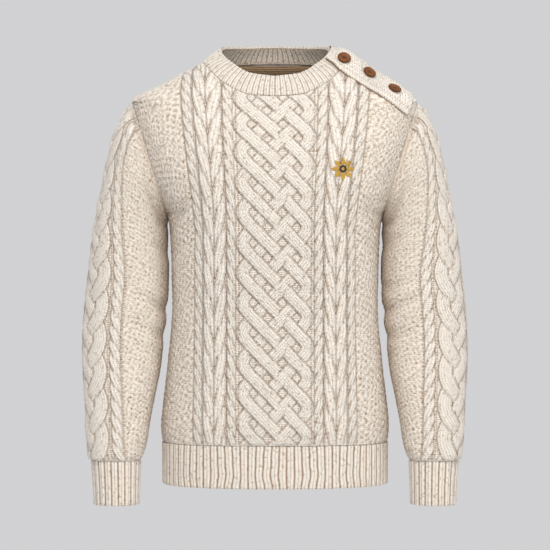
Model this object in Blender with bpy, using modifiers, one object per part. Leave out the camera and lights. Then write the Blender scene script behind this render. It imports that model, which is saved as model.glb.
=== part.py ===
"""Fisherman sweater, filled out with no wearer inside.

Metres, Z up, front towards -Y. The origin lies midway between the two high shoulder points.
Each knitted piece is one wall: a plain inside, and an outside that carries its cables and ribs.
"""

import math

import bpy
import mathutils
import numpy as np

MM = 0.001

# Walls and seams
WALL = 3.5 * MM
COLLAR_WALL = 4.0 * MM
HALF_GAP = 0.15 * MM
FADE = 9 * MM

# Knitting: one lattice repeat, and the rows of points that follow it
REPEAT = 46.6 * MM
STEP = REPEAT / 4
PLAIN_STEP = REPEAT / 2
INNER_STEP = 60 * MM
LEVEL = 0.3 * STEP

# Raised knitting
STRAND_OVER = 5.2 * MM
STRAND_UNDER = 3.6 * MM
ROPE_RISE = 2.6 * MM
ROPE_SWING = 1.7 * MM
HORSESHOE_RISE = 2.6 * MM
HORSESHOE_SWING = 1.9 * MM
PLAIT_REPEAT = 52 * MM
PLAIT_RISE = 3.6 * MM
PLAIT_SWING = 1.3 * MM
MOSS_RISE = 0.8 * MM
RIB_RISE = 2.4 * MM

# Body slices, bottom to top: height, half width, depth of the front, depth of the back
SLICE_POWER = 2.4
BODY = (
    (-0.665, 0.1780, 0.120, 0.110),
    (-0.598, 0.1785, 0.120, 0.110),
    (-0.573, 0.1800, 0.122, 0.112),
    (-0.534, 0.1765, 0.120, 0.109),
    (-0.496, 0.1720, 0.118, 0.106),
    (-0.458, 0.1680, 0.117, 0.103),
    (-0.420, 0.1640, 0.116, 0.100),
    (-0.380, 0.1620, 0.117, 0.100),
    (-0.340, 0.1630, 0.120, 0.102),
    (-0.300, 0.1640, 0.124, 0.106),
    (-0.260, 0.1665, 0.127, 0.110),
    (-0.240, 0.1700, 0.128, 0.112),
    (-0.225, 0.1785, 0.128, 0.114),
    (-0.190, 0.1970, 0.127, 0.115),
    (-0.150, 0.2120, 0.122, 0.115),
    (-0.104, 0.2230, 0.109, 0.110),
    (-0.059, 0.2270, 0.0905, 0.0995),
    (-0.030, 0.1770, 0.078, 0.088),
    (0.004, 0.1150, 0.062, 0.067),
    (0.012, 0.1005, 0.056, 0.062),
)

# The armhole lies in one plane, from the underarm to the shoulder point
UNDERARM_X, UNDERARM_Z = 0.170, -0.240
SHOULDER_X, SHOULDER_Z = 0.227, -0.059

# Front neckline: distance from the middle, height
FRONT_NECK = (
    (0.000, -0.0555),
    (0.039, -0.0525),
    (0.0652, -0.0420),
    (0.0916, -0.0235),
    (0.104, -0.0090),
    (0.111, -0.0010),
    (0.115, 0.0040),
)
NECK_HALF_WIDTH = 0.115
NECK_CORNER_Z = 0.004
BACK_NECK_RISE = 0.004

# Columns of the knitting, from the middle outwards, in mm: lattice, rope, horseshoe, rope, moss
LATTICE = (0, 10, 20, 30, 40, 50)
CABLES = (57, 62.5, 70, 76, 80, 88, 95.5, 103, 111, 115.5, 120, 127)
MOSS = (132, 156, 181, 212, 245)
INNER = (0, 30, 57, 76, 90, 103, 132, 156, 181, 212, 245)
NECK_COLUMN = 103
MOSS_START = 132
PANEL_EDGE = 245
# Where each column ends on the neckline or the shoulder: column, distance from the middle
COLUMN_TOP = (
    (0, 0.000),
    (50, 0.0550),
    (76, 0.0840),
    (88, 0.0985),
    (95.5, 0.1085),
    (103, 0.1150),
    (132, 0.1440),
    (245, 0.2270),
)
SPREAD_FROM_Z = -0.27
SIDE_SEAM_ROWS = 14
UNDERARM_NEAR = 0.1 * MM
ARMHOLE_ROWS = 12

# Sleeve slices, shoulder to cuff: outer x and z, inner x and z, half depth, middle y
SLEEVE = (
    (0.2384, -0.0736, 0.1712, -0.2460, 0.0600, 0.000),
    (0.2490, -0.0930, 0.1722, -0.2520, 0.0625, 0.000),
    (0.2605, -0.1250, 0.1725, -0.2600, 0.0640, 0.000),
    (0.2700, -0.1680, 0.1725, -0.2720, 0.0650, 0.000),
    (0.2784, -0.2080, 0.1720, -0.2880, 0.0650, 0.000),
    (0.2864, -0.2460, 0.1712, -0.3060, 0.0645, 0.000),
    (0.2920, -0.2850, 0.1708, -0.3250, 0.0635, -0.001),
    (0.2985, -0.3450, 0.1712, -0.3500, 0.0620, -0.002),
    (0.3035, -0.3920, 0.1740, -0.3920, 0.0600, -0.004),
    (0.3055, -0.4380, 0.1790, -0.4380, 0.0580, -0.010),
    (0.3045, -0.4800, 0.1830, -0.4800, 0.0550, -0.018),
    (0.3010, -0.5200, 0.1905, -0.5200, 0.0525, -0.026),
    (0.2985, -0.5600, 0.1980, -0.5600, 0.0490, -0.034),
    (0.2960, -0.6000, 0.2040, -0.6000, 0.0450, -0.042),
    (0.2925, -0.6180, 0.2095, -0.6180, 0.0410, -0.046),
    (0.2890, -0.6250, 0.2130, -0.6250, 0.0375, -0.047),
)
CUFF = (
    (0.2885, -0.6250, 0.2130, -0.6250, 0.0370, -0.047),
    (0.2870, -0.6400, 0.2135, -0.6400, 0.0360, -0.049),
    (0.2845, -0.6700, 0.2142, -0.6700, 0.0350, -0.053),
    (0.2835, -0.6940, 0.2145, -0.6940, 0.0345, -0.055),
)
SLEEVE_POWER = 2.15
# Sleeve columns, from the middle of its plait, in mm, and the share of the rest for the moss
PLAIT = (-55, -48, -41, -32, -21, -10.5, 0, 10.5, 21, 32, 41, 48, 55)
SLEEVE_MOSS = (0.125, 0.25, 0.375, 0.5, 0.625, 0.75, 0.875)
SLEEVE_INNER = (-55, -32, -10.5, 10.5, 32, 55)
SLEEVE_INNER_MOSS = (0.167, 0.333, 0.5, 0.667, 0.833)
PLAIT_EDGE = 55
# Lengths at which neighbouring columns of a sleeve are matched, and the sleeve's girth
SLEEVE_LENGTH = 0.6
SLEEVE_GIRTH = 0.330
MOSS_GIRTH = 0.220
# Middle of the plait, degrees from straight out: at the shoulder, and from the elbow down
PLAIT_TURN = {"left": (12, 50), "right": (14, 42)}

# Collar top edge: degrees from the front, height
COLLAR_TOP = (
    (0, -0.0236),
    (25, -0.0184),
    (52, 0.0005),
    (75, 0.0167),
    (90, 0.0265),
    (120, 0.0330),
    (180, 0.0365),
)
COLLAR_HALF_WIDTH = 0.086
COLLAR_FRONT = -0.072
COLLAR_SIDE = -0.005
COLLAR_BACK = 0.055
COLLAR_RIBS = 48
COLLAR_BULGE = 2.5 * MM
COLLAR_ROWS = (0.12, 0.90, 1.0)

# Hem and cuffs: ribs, and rows of points as heights with the share of the rib's rise
HEM_RIBS = 41
HEM_ROWS = ((-0.598, 1.0), (-0.6615, 1.0), (-0.665, 0.35))
CUFF_RIBS = 22
CUFF_ROWS = ((0.0, 0.25), (0.08, 1.0), (0.95, 1.0), (1.0, 0.35))

# Placket over the left shoulder: front edge x, z; ridge x, y, z; back edge x, y
PLACKET = (
    (0.1040, -0.0151, 0.1065, -0.030, 0.0235, 0.109, 0.024),
    (0.1290, -0.0327, 0.1304, -0.030, 0.0110, 0.130, 0.026),
    (0.1475, -0.0440, 0.1480, -0.029, -0.0015, 0.148, 0.026),
    (0.1650, -0.0540, 0.1640, -0.028, -0.0135, 0.164, 0.026),
    (0.1870, -0.0697, 0.1870, -0.026, -0.0260, 0.187, 0.024),
    (0.2055, -0.0830, 0.2145, -0.022, -0.0465, 0.214, 0.015),
)
# Its end on the collar: share round and share up of each edge; ridge x, y, z
PLACKET_ON_COLLAR = ((0.186, 0.86), (0.0885, -0.022, 0.0245), (0.305, 0.93))
PLACKET_CREST = (0.0, 0.017, 0.0046)
PLACKET_ACROSS = (0.0, 0.13, 0.27, 0.4, 0.52, 0.65, 0.82, 1.0)
PLACKET_STATIONS = 14
PLACKET_WALL = 3.6 * MM
PLACKET_CLEAR = 2.8 * MM
UNDER_PLACKET_BACK = 40 * MM
UNDER_PLACKET_MARGIN = 5 * MM

# Buttons: where the middle lies on the band, in the front view
BUTTONS = ((0.1080, 0.0080), (0.1481, -0.0156), (0.1879, -0.0408))
BUTTON_CLEAR = 0.4 * MM
BUTTON_SIDES = 16
BUTTON_HOLE_SIDES = 5
BUTTON_HOLE = 1.1 * MM
BUTTON_HOLE_OFFSET = 2.0 * MM
# Half of its outline, turned about the middle: radius, height
BUTTON_OUTLINE = (
    (0.0000, 0.0000),
    (0.0100, 0.0000),
    (0.0106, 0.0026),
    (0.0092, 0.0040),
    (0.0072, 0.0029),
    (0.0000, 0.0029),
)

PARTS = "fisherman sweater"
CUTTERS = "cutters"
WOOL = (0.66, 0.60, 0.51)
WOOD = (0.21, 0.09, 0.04)


def material(name, colour, roughness):
    """One material of the sweater, made the first time that it is asked for."""
    if name in bpy.data.materials:
        return bpy.data.materials[name]
    made = bpy.data.materials.new(name)
    made.use_nodes = True
    shader = made.node_tree.nodes["Principled BSDF"]
    shader.inputs["Base Color"].default_value = (*colour, 1.0)
    shader.inputs["Roughness"].default_value = roughness
    shader.inputs["Metallic"].default_value = 0.0
    return made


def smooth_curve(knots, values):
    """A smooth function through the table that never overshoots it."""
    knots = np.asarray(knots, float)
    values = np.asarray(values, float)
    steps = np.diff(knots)
    slopes = (np.diff(values, axis=0).T / steps).T
    before, after = slopes[:-1], slopes[1:]
    same = before * after > 0
    total = np.where(same, before + after, 1.0)
    middle = np.where(same, 2 * before * after / total, 0.0)
    tangents = np.concatenate([slopes[:1], middle, slopes[-1:]])

    def evaluate(at):
        at = np.clip(np.asarray(at, float), knots[0], knots[-1])
        i = np.clip(np.searchsorted(knots, at, side="right") - 1, 0, len(steps) - 1)
        width = steps[i]
        t = (at - knots[i]) / width
        if values.ndim > 1:
            t = t[..., None]
            width = width[..., None]
        rise = (3 - 2 * t) * t * t
        bend = values[i] * (1 - rise) + values[i + 1] * rise
        return bend + width * t * (1 - t) * ((1 - t) * tangents[i] - t * tangents[i + 1])

    return evaluate


def ease(t):
    t = np.clip(t, 0, 1)
    return t * t * (3 - 2 * t)


def unit(v):
    return v / np.linalg.norm(v, axis=-1, keepdims=True)


body_table = np.array(BODY)
half_width = smooth_curve(body_table[:, 0], body_table[:, 1])
depths = {
    -1: smooth_curve(body_table[:, 0], body_table[:, 2]),
    1: smooth_curve(body_table[:, 0], body_table[:, 3]),
}
front_neck_z = smooth_curve(*np.array(FRONT_NECK).T)
column_top_x = smooth_curve(*np.array(COLUMN_TOP).T)
collar_top_z = smooth_curve(*np.array(COLLAR_TOP).T)


def armhole_x(z):
    share = (np.asarray(z, float) - UNDERARM_Z) / (SHOULDER_Z - UNDERARM_Z)
    return UNDERARM_X + share * (SHOULDER_X - UNDERARM_X)


ARMHOLE_POINTS = np.array([[UNDERARM_X, 0.0, UNDERARM_Z], [SHOULDER_X, 0.0, SHOULDER_Z]])
ARMHOLE_MIDDLE = ARMHOLE_POINTS.mean(axis=0)
ARMHOLE_NORMAL = np.cross(np.array([0.0, 1.0, 0.0]), unit(ARMHOLE_POINTS[1] - ARMHOLE_POINTS[0]))


def panel_edge_x(z):
    """Side seam below the underarm, armhole above it, shoulder seam above the shoulder point."""
    z = np.asarray(z, float)
    inside = (z > UNDERARM_Z) & (z < SHOULDER_Z)
    return np.where(inside, np.minimum(armhole_x(z), half_width(z)), half_width(z))


def body_y(x, z, side):
    left = 1 - (np.abs(x) / half_width(z)) ** SLICE_POWER
    return side * depths[side](z) * np.clip(left, 0, 1) ** (1 / SLICE_POWER)


def body_normal(x, y, z, side):
    """Outward normal of the body's form, from the slope of its slices."""
    n = SLICE_POWER
    w, d = half_width(z), depths[side](z)
    dz = 0.5 * MM
    w_slope = (half_width(z + dz) - half_width(z - dz)) / (2 * dz)
    d_slope = (depths[side](z + dz) - depths[side](z - dz)) / (2 * dz)
    along = np.abs(x) / w
    across = np.abs(y) / d
    nx = np.sign(x) * along ** (n - 1) / w
    ny = np.sign(y) * across ** (n - 1) / d
    nz = -(along**n * w_slope / w + across**n * d_slope / d)
    return unit(np.stack([nx, ny, nz], axis=-1))


def slice_x(arc, z, side):
    """Distance from the middle at an arc length round the slice at height z, and the arc to the edge."""
    edge = float(panel_edge_x(z))
    wide = float(half_width(z))
    turn = np.linspace(0, math.pi / 2, 60)
    xs = wide * np.sin(turn) ** (2 / SLICE_POWER)
    ys = float(depths[side](z)) * np.cos(turn) ** (2 / SLICE_POWER)
    arcs = np.concatenate([[0], np.cumsum(np.hypot(np.diff(xs), np.diff(ys)))])
    edge_arc = np.interp(edge, xs, arcs)
    start = MOSS_START * MM
    if arc > start:
        arc = start + (arc - start) / (PANEL_EDGE * MM - start) * (edge_arc - start)
    return float(np.interp(arc, arcs, xs))


def neck_z(x, side):
    if side < 0:
        return front_neck_z(x)
    share = np.clip(1 - (np.asarray(x) / NECK_HALF_WIDTH) ** 2, 0, 1)
    return NECK_CORNER_Z + BACK_NECK_RISE * share


def top_of_column(column, side):
    """Where a column ends: distance from the middle, and height."""
    x = float(column_top_x(column))
    if column <= NECK_COLUMN:
        return x, float(neck_z(x, side))
    heights = np.linspace(SHOULDER_Z, NECK_CORNER_Z, 200)
    return x, float(np.interp(-x, -half_width(heights), heights))


def panel_column(column, side):
    """A column of knitting on the body's form, hem rib to top, as close points."""
    hem_top = HEM_ROWS[0][0]
    x_top, z_top = top_of_column(column, side)
    share = np.linspace(0, 1, 150)
    heights = hem_top + (z_top - hem_top) * (1 - (1 - share) ** 1.8)
    if column == PANEL_EDGE:
        xs = panel_edge_x(heights)
    else:
        xs = np.array([slice_x(column * MM, z, side) for z in heights])
        spread = ease((heights - SPREAD_FROM_Z) / (z_top - SPREAD_FROM_Z))
        xs = xs + spread * (x_top - xs[-1])
        xs = np.minimum(xs, half_width(heights))
    ys = body_y(xs, heights, side)
    if column > NECK_COLUMN:
        ys[-1] = 0
    return np.stack([xs, ys, heights], axis=-1)


def lengths_along(points):
    gaps = np.linalg.norm(np.diff(points, axis=0), axis=1)
    return np.concatenate([[0], np.cumsum(gaps)])


def row_lengths(total, step):
    """Rows at whole steps from the bottom, and one at the very top."""
    count = int(total / step - 0.45)
    return np.append(np.arange(count + 1) * step, total)


def at_lengths(points, lengths, wanted):
    return np.stack([np.interp(wanted, lengths, points[:, k]) for k in range(3)], axis=-1)


def wave(t):
    """Triangle wave between -1 and 1, period 1, rising through 0 at t = 0."""
    t = (t + 0.25) % 1.0
    return np.where(t < 0.5, 4 * t - 1, 3 - 4 * t)


def lattice_rise(x, length):
    """Five strands crossing in diamonds."""
    rise = 0.0
    for strand in range(5):
        t = (length / REPEAT - strand) / 5
        centre = 50 * MM * wave(t)
        leaning_right = (t + 0.25) % 1.0 < 0.5
        over = leaning_right == (abs(x - 10 * MM) < 6 * MM)
        height = STRAND_OVER if over else STRAND_UNDER
        rise = max(rise, height * float(ease(1.5 - abs(x - centre) / (7 * MM))))
    return rise


def rope_rise(x, length, left, right):
    """Two strands laid round each other, between the left and right edges."""
    middle = (left + right) / 2
    swing = math.cos(2 * math.pi * length / (REPEAT / 2))
    side = 1 if x > middle else -1
    return ROPE_RISE + ROPE_SWING * side * swing


def horseshoe_rise(x, length, middle, reach):
    away = abs(x - middle) / reach
    return HORSESHOE_RISE + HORSESHOE_SWING * math.cos(2 * math.pi * length / REPEAT - math.pi * away)


def panel_rise(column, length):
    """How far the knitting stands up at a column, in mm from the middle, and a length up from the hem."""
    away = abs(column)
    if away < 55:
        return lattice_rise(column * MM, length)
    if 60 < away < 72:
        return rope_rise(column, length, 56 * np.sign(column), 76 * np.sign(column))
    if 78 < away < 113:
        return horseshoe_rise(away, length, 95.5, 15.5)
    if 118 < away < 129:
        return rope_rise(column, length, 116 * np.sign(column), 131 * np.sign(column))
    return MOSS_RISE if away > MOSS_START else 0.0


def plait_rise(offset, length):
    """Three strands plaited, between narrow ropes and moss."""
    away = abs(offset)
    if away < 28:
        rise = 0.0
        for strand in range(3):
            turn = 2 * math.pi * (length / (3 * PLAIT_REPEAT) + strand / 3)
            centre = 20 * math.sin(turn)
            height = PLAIT_RISE + PLAIT_SWING * math.sin(2 * turn)
            rise = max(rise, height * max(0.0, 1 - ((offset - centre) / 13) ** 2))
        return rise
    if 38 < away < 52:
        return rope_rise(offset, length, 35 * np.sign(offset), 54 * np.sign(offset))
    return MOSS_RISE if away > PLAIT_EDGE else 0.0


class Piece:
    """Points and triangles of one solid."""

    def __init__(self, name):
        self.name = name
        self.points = []
        self.faces = []

    def line(self, points):
        start = len(self.points)
        self.points.extend(tuple(float(c) for c in p) for p in points)
        return list(range(start, len(self.points)))

    def strip(self, a, b, at_a, at_b, rise_a=None, rise_b=None):
        """Triangles between two lines of points, matched by their positions along them.

        Where two rows lie level, the shared edge follows the higher knitting.
        """
        i = j = 0
        while i < len(a) - 1 or j < len(b) - 1:
            inside = i < len(a) - 1 and j < len(b) - 1
            level = inside and abs(at_a[i] - at_b[j]) < LEVEL and abs(at_a[i + 1] - at_b[j + 1]) < LEVEL
            if j == len(b) - 1:
                step_a = True
            elif i == len(a) - 1:
                step_a = False
            elif level and rise_a is not None:
                step_a = rise_a[i + 1] + rise_b[j] > rise_a[i] + rise_b[j + 1]
            else:
                step_a = at_a[i + 1] + at_a[i] <= at_b[j + 1] + at_b[j]
            if step_a:
                self.faces.append((a[i], a[i + 1], b[j]))
                i += 1
            else:
                self.faces.append((a[i], b[j + 1], b[j]))
                j += 1

    def finish(self):
        mesh = bpy.data.meshes.new(self.name)
        faces = np.array(self.faces)
        corners = np.array(self.points)[faces]
        volume = np.einsum("ij,ij->i", corners[:, 0], np.cross(corners[:, 1], corners[:, 2])).sum()
        if volume < 0:
            faces = faces[:, ::-1]
        mesh.from_pydata(self.points, [], faces.tolist())
        mesh.shade_smooth()
        mesh.set_sharp_from_angle(angle=math.radians(50))
        mesh.materials.append(material("wool", WOOL, 0.9))
        obj = bpy.data.objects.new(self.name, mesh)
        bpy.data.collections[PARTS].objects.link(obj)
        return obj


class Column:
    """One line of points up a wall, with their lengths along it and their rise."""

    def __init__(self, place, points, lengths, rises=None):
        self.place = place
        self.points = points
        self.lengths = list(lengths)
        self.rises = rises if rises is not None else [0.0] * len(points)
        self.index = None


def build_wall(name, outer, inner, closed):
    """A wall between an outer and an inner set of columns, open all round its edge."""
    piece = Piece(name)
    for column in outer + inner:
        column.index = piece.line(column.points)
    sides = []
    for columns, flip in ((outer, False), (inner, True)):
        around = columns + columns[:1] if closed else columns
        for a, b in zip(around, around[1:]):
            if flip:
                a, b = b, a
            piece.strip(a.index, b.index, a.lengths, b.lengths, a.rises, b.rises)
        bottom = [c.index[0] for c in around]
        top = [c.index[-1] for c in around]
        places = [c.place for c in around]
        if closed:
            places[-1] = places[0] + 1.0
        sides.append((bottom, top, places))
    (out_bottom, out_top, out_places), (in_bottom, in_top, in_places) = sides
    piece.strip(out_bottom, in_bottom, out_places, in_places)
    piece.strip(in_top, out_top, in_places, out_places)
    if not closed:
        piece.strip(inner[0].index, outer[0].index, inner[0].lengths, outer[0].lengths)
        piece.strip(outer[-1].index, inner[-1].index, outer[-1].lengths, inner[-1].lengths)
    return piece


def armhole_inside(points):
    """Inner edge of the armhole: a wall's width towards its middle, in its plane."""
    return points + WALL * unit(ARMHOLE_MIDDLE - points)


def neck_direction(x, side):
    """In the cloth, across the neckline, towards the opening."""
    dx = 0.5 * MM
    ends = []
    for at in (max(x - dx, 0.0), min(x + dx, NECK_HALF_WIDTH)):
        z = neck_z(at, side)
        ends.append(np.array([at, body_y(at, z, side), z], float))
    z = neck_z(x, side)
    normal = body_normal(x, body_y(x, z, side), z, side)
    across = unit(np.cross(normal, unit(ends[1] - ends[0])))
    return across if across[2] > 0 else -across


def edge_lengths(close, lengths):
    """Rows of the panel's edge: one falls on the underarm, and the armhole has even rows above it."""
    underarm = float(np.interp(UNDERARM_Z, close[:, 2], lengths))
    below = np.linspace(0, underarm, SIDE_SEAM_ROWS)
    above = np.linspace(underarm, lengths[-1], ARMHOLE_ROWS)
    return np.append(below, above[1:])


def panel_columns(side, places, inner):
    """Columns of one panel's right half, as full tables of points for both walls."""
    made = []
    for place in places:
        close = panel_column(place, side)
        lengths = lengths_along(close)
        if inner:
            step = INNER_STEP
        elif place > MOSS_START:
            step = PLAIN_STEP
        else:
            step = STEP
        if place == PANEL_EDGE:
            rows = edge_lengths(close, lengths)
        else:
            rows = row_lengths(lengths[-1], step)
        points = at_lengths(close, lengths, rows)
        x, y, z = points.T
        y = body_y(x, z, side)
        if place > NECK_COLUMN:
            y[-1] = 0
        if place == PANEL_EDGE:
            x = panel_edge_x(z)
            y = np.where(z <= UNDERARM_Z + UNDERARM_NEAR, 0, body_y(x, z, side))
            y[-1] = 0
        normals = body_normal(x, y, z, side)
        made.append((place, np.stack([x, y, z], axis=-1), normals, rows))
    return made


def finish_panel_column(place, mirrored, points, normals, rows, side, inner, rises):
    sheet = points + normals * (-WALL if inner else rises[:, None])
    if place == PANEL_EDGE:
        arm = slice(SIDE_SEAM_ROWS - 1, None)
        if inner:
            sheet[arm] = armhole_inside(points[arm])
        sheet[arm] -= HALF_GAP * ARMHOLE_NORMAL
        sheet[:SIDE_SEAM_ROWS, 1] = side * HALF_GAP
        sheet[-1, 1] = side * HALF_GAP
    elif place > NECK_COLUMN:
        sheet[-1, 1] = side * HALF_GAP
    else:
        across = neck_direction(float(points[-1, 0]), side)
        sheet[-1] -= HALF_GAP * across
        if place == NECK_COLUMN:
            sheet[-1, 1] = side * HALF_GAP
    if mirrored:
        sheet[:, 0] *= -1
    return sheet


def panel_fade(place, points, rows, side, mirrored):
    """The knitting flattens into its seams, and lies flat under the placket."""
    total = rows[-1]
    keep = ease(rows / FADE) * ease((total - rows) / FADE)
    keep = keep * float(ease((PANEL_EDGE - abs(place)) * MM / (2 * FADE)))
    if mirrored or place < 80:
        return keep
    if side > 0:
        return keep * ease((total - rows - UNDER_PLACKET_BACK) / FADE)
    front = np.array(PLACKET)
    edge_z = np.interp(points[:, 0], front[:, 0], front[:, 1])
    return keep * ease((edge_z - UNDER_PLACKET_MARGIN - points[:, 2]) / UNDER_PLACKET_MARGIN)


def make_panel(name, side):
    outer_places = LATTICE + CABLES + MOSS
    walls = []
    for places, inner in ((outer_places, False), (INNER, True)):
        columns = []
        tables = panel_columns(side, places, inner)
        for mirrored in (True, False):
            chosen = tables[:0:-1] if mirrored else tables
            for place, points, normals, rows in chosen:
                signed = -place if mirrored else place
                rises = np.zeros(len(rows))
                if not inner:
                    knit = [panel_rise(signed, length) for length in rows]
                    rises = np.array(knit) * panel_fade(place, points, rows, side, mirrored)
                sheet = finish_panel_column(place, mirrored, points, normals, rows, side, inner, rises)
                columns.append(Column(signed, sheet, rows, rises))
        walls.append(columns)
    piece = build_wall(name, walls[0], walls[1], closed=False)
    piece.finish()
    return walls


def ring_points(row, angles):
    """Slice of a sleeve: 0 degrees at its outer side, 90 at the front."""
    outer = np.array([row[0], row[5], row[1]])
    inner = np.array([row[2], row[5], row[3]])
    middle = (outer + inner) / 2
    reach = (outer - inner) / 2
    c, s = np.cos(angles), np.sin(angles)
    c = np.sign(c) * np.abs(c) ** (2 / SLEEVE_POWER)
    s = np.sign(s) * np.abs(s) ** (2 / SLEEVE_POWER)
    return middle + c[:, None] * reach - (s * row[4])[:, None] * np.array([0.0, 1.0, 0.0])


def armhole_loop(angles):
    """Outer edge of the armhole, matched to the sleeve's angles."""
    c = np.cos(angles)
    span = (SHOULDER_Z - UNDERARM_Z) / 2
    z = (SHOULDER_Z + UNDERARM_Z) / 2 + span * c
    x = armhole_x(z)
    front = np.abs(body_y(x, z, -1))
    back = np.abs(body_y(x, z, 1))
    at_end = np.abs(np.sin(angles)) < 1e-6
    y = np.where(np.sin(angles) > 0, -front, back)
    return np.stack([x, np.where(at_end, 0, y), z], axis=-1)


RING_ANGLES = np.linspace(0, 2 * math.pi, 145)


def tube_of(rings):
    """Close points over a whole sleeve or cuff, top to bottom."""
    stack = np.stack(rings)
    centres = stack[:, :-1].mean(axis=1)
    places = lengths_along(centres)
    fine = np.linspace(0, places[-1], 120)
    return smooth_curve(places, stack.reshape(len(stack), -1))(fine).reshape(120, len(RING_ANGLES), 3)


def tube_normals(tube):
    along = np.gradient(tube, axis=0)
    around = np.gradient(tube, axis=1)
    around[:, 0] = tube[:, 1] - tube[:, -2]
    around[:, -1] = around[:, 0]
    normal = np.cross(around, along)
    outward = tube - tube[:, :-1].mean(axis=1)[:, None]
    facing = np.sign((normal * outward).sum())
    long = np.linalg.norm(normal, axis=-1, keepdims=True)
    return facing * normal / np.maximum(long, 1e-12)


def make_sleeve(name, hand):
    mirrored = hand == "right"
    rings = [armhole_loop(RING_ANGLES)] + [ring_points(row, RING_ANGLES) for row in SLEEVE]
    tube = tube_of(rings)
    normals = tube_normals(tube)
    start, settled = PLAIT_TURN[hand]
    share = np.linspace(0, 1, len(tube))
    turn = np.radians(start + (settled - start) * ease(share / 0.45))
    walls = []
    for inner in (False, True):
        places = [(p, None) for p in (SLEEVE_INNER if inner else PLAIT)]
        places += [(None, m) for m in (SLEEVE_INNER_MOSS if inner else SLEEVE_MOSS)]
        columns = []
        for offset, moss in places:
            line = np.empty((len(tube), 3))
            out = np.empty((len(tube), 3))
            for k, ring in enumerate(tube):
                arcs = lengths_along(ring)
                total = arcs[-1]
                middle = np.interp(turn[k], RING_ANGLES, arcs)
                if offset is not None:
                    arc = middle + offset * MM
                else:
                    arc = middle + PLAIT_EDGE * MM + moss * (total - 2 * PLAIT_EDGE * MM)
                angle = np.interp(arc % total, arcs, RING_ANGLES)
                for axis in range(3):
                    line[k, axis] = np.interp(angle, RING_ANGLES, ring[:, axis])
                    out[k, axis] = np.interp(angle, RING_ANGLES, normals[k, :, axis])
            line, out = line[::-1], unit(out[::-1])
            lengths = lengths_along(line)
            if inner:
                step = INNER_STEP
            else:
                step = PLAIN_STEP if moss is not None else STEP
            rows = row_lengths(lengths[-1], step)
            points = at_lengths(line, lengths, rows)
            directions = unit(at_lengths(out, lengths, rows))
            if inner:
                sheet = points - WALL * directions
                sheet[-1] = armhole_inside(points[-1])
                sheet[0, 2] = points[0, 2]
            else:
                knit_at = offset if offset is not None else PLAIT_EDGE + 1
                rises = np.array([plait_rise(knit_at, length) for length in rows])
                rises = rises * ease(rows / FADE) * ease((rows[-1] - rows - 2 * MM) / (1.5 * FADE))
                sheet = points + directions * rises[:, None]
            sheet[-1] += HALF_GAP * ARMHOLE_NORMAL
            sheet[0, 2] += HALF_GAP
            if mirrored:
                sheet[:, 0] *= -1
            round_it = offset * MM if offset is not None else PLAIT_EDGE * MM + moss * MOSS_GIRTH
            place = round_it / SLEEVE_GIRTH
            matched = rows / rows[-1] * SLEEVE_LENGTH
            columns.append(Column(place, sheet, matched, None if inner else rises))
        walls.append(columns)
    build_wall(name, walls[0], walls[1], closed=True).finish()


def rib_columns(count, rows, base, closed):
    """Columns of ribbing: base(share, row) gives a point and its outward direction."""
    columns = []
    total = 2 * count if closed else 2 * count + 1
    for k in range(total):
        share = k / (2 * count)
        points = []
        for row, keep in rows:
            point, out = base(share, row)
            points.append(point + out * RIB_RISE * keep * (k % 2))
        columns.append(Column(share, np.array(points), range(len(points))))
    return columns


def hem_point(share, z, side):
    """A point round half the hem, from the left side seam to the right one."""
    turn = np.linspace(-math.pi / 2, math.pi / 2, 241)
    xs = np.sign(turn) * float(half_width(z)) * np.abs(np.sin(turn)) ** (2 / SLICE_POWER)
    ys = side * float(depths[side](z)) * np.cos(turn).clip(0) ** (2 / SLICE_POWER)
    arcs = lengths_along(np.stack([xs, ys], axis=-1))
    at = share * arcs[-1]
    x, y = float(np.interp(at, arcs, xs)), float(np.interp(at, arcs, ys))
    normal = body_normal(np.array(x), np.array(y if abs(y) > 1e-7 else 0.0), np.array(z), side)
    normal[2] = 0
    return np.array([x, y, z]), unit(normal)


def make_hem(name, side):
    outer = rib_columns(HEM_RIBS, HEM_ROWS, lambda s, z: hem_point(s, z, side), closed=False)
    inner = []
    for k in range(21):
        share = k / 20
        points = []
        for z in (HEM_ROWS[0][0], HEM_ROWS[-1][0]):
            point, out = hem_point(share, z, side)
            points.append(point - WALL * out)
        inner.append(Column(share, np.array(points), (0, len(HEM_ROWS) - 1)))
    for column in outer + inner:
        column.points[0, 2] -= 2 * HALF_GAP
    for column in (outer[0], outer[-1], inner[0], inner[-1]):
        column.points[:, 1] = side * HALF_GAP
    build_wall(name, outer, inner, closed=False).finish()


def make_cuff(name, hand):
    mirrored = hand == "right"
    tube = tube_of([ring_points(row, RING_ANGLES) for row in CUFF])
    normals = tube_normals(tube)
    normals[..., 2] = 0
    normals = unit(normals)

    def cuff_point(share, down):
        k = int(round(down * (len(tube) - 1)))
        arcs = lengths_along(tube[k])
        at = share * arcs[-1]
        point = np.array([np.interp(at, arcs, tube[k, :, axis]) for axis in range(3)])
        out = np.array([np.interp(at, arcs, normals[k, :, axis]) for axis in range(3)])
        return point, unit(out)

    outer = rib_columns(CUFF_RIBS, CUFF_ROWS, cuff_point, closed=True)
    inner = []
    for k in range(14):
        points = []
        for down in (0.0, 1.0):
            point, out = cuff_point(k / 14, down)
            points.append(point - WALL * out)
        inner.append(Column(k / 14, np.array(points), (0, len(CUFF_ROWS) - 1)))
    for column in outer + inner:
        column.points[0, 2] -= HALF_GAP
        if mirrored:
            column.points[:, 0] *= -1
    build_wall(name, outer, inner, closed=True).finish()


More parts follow.
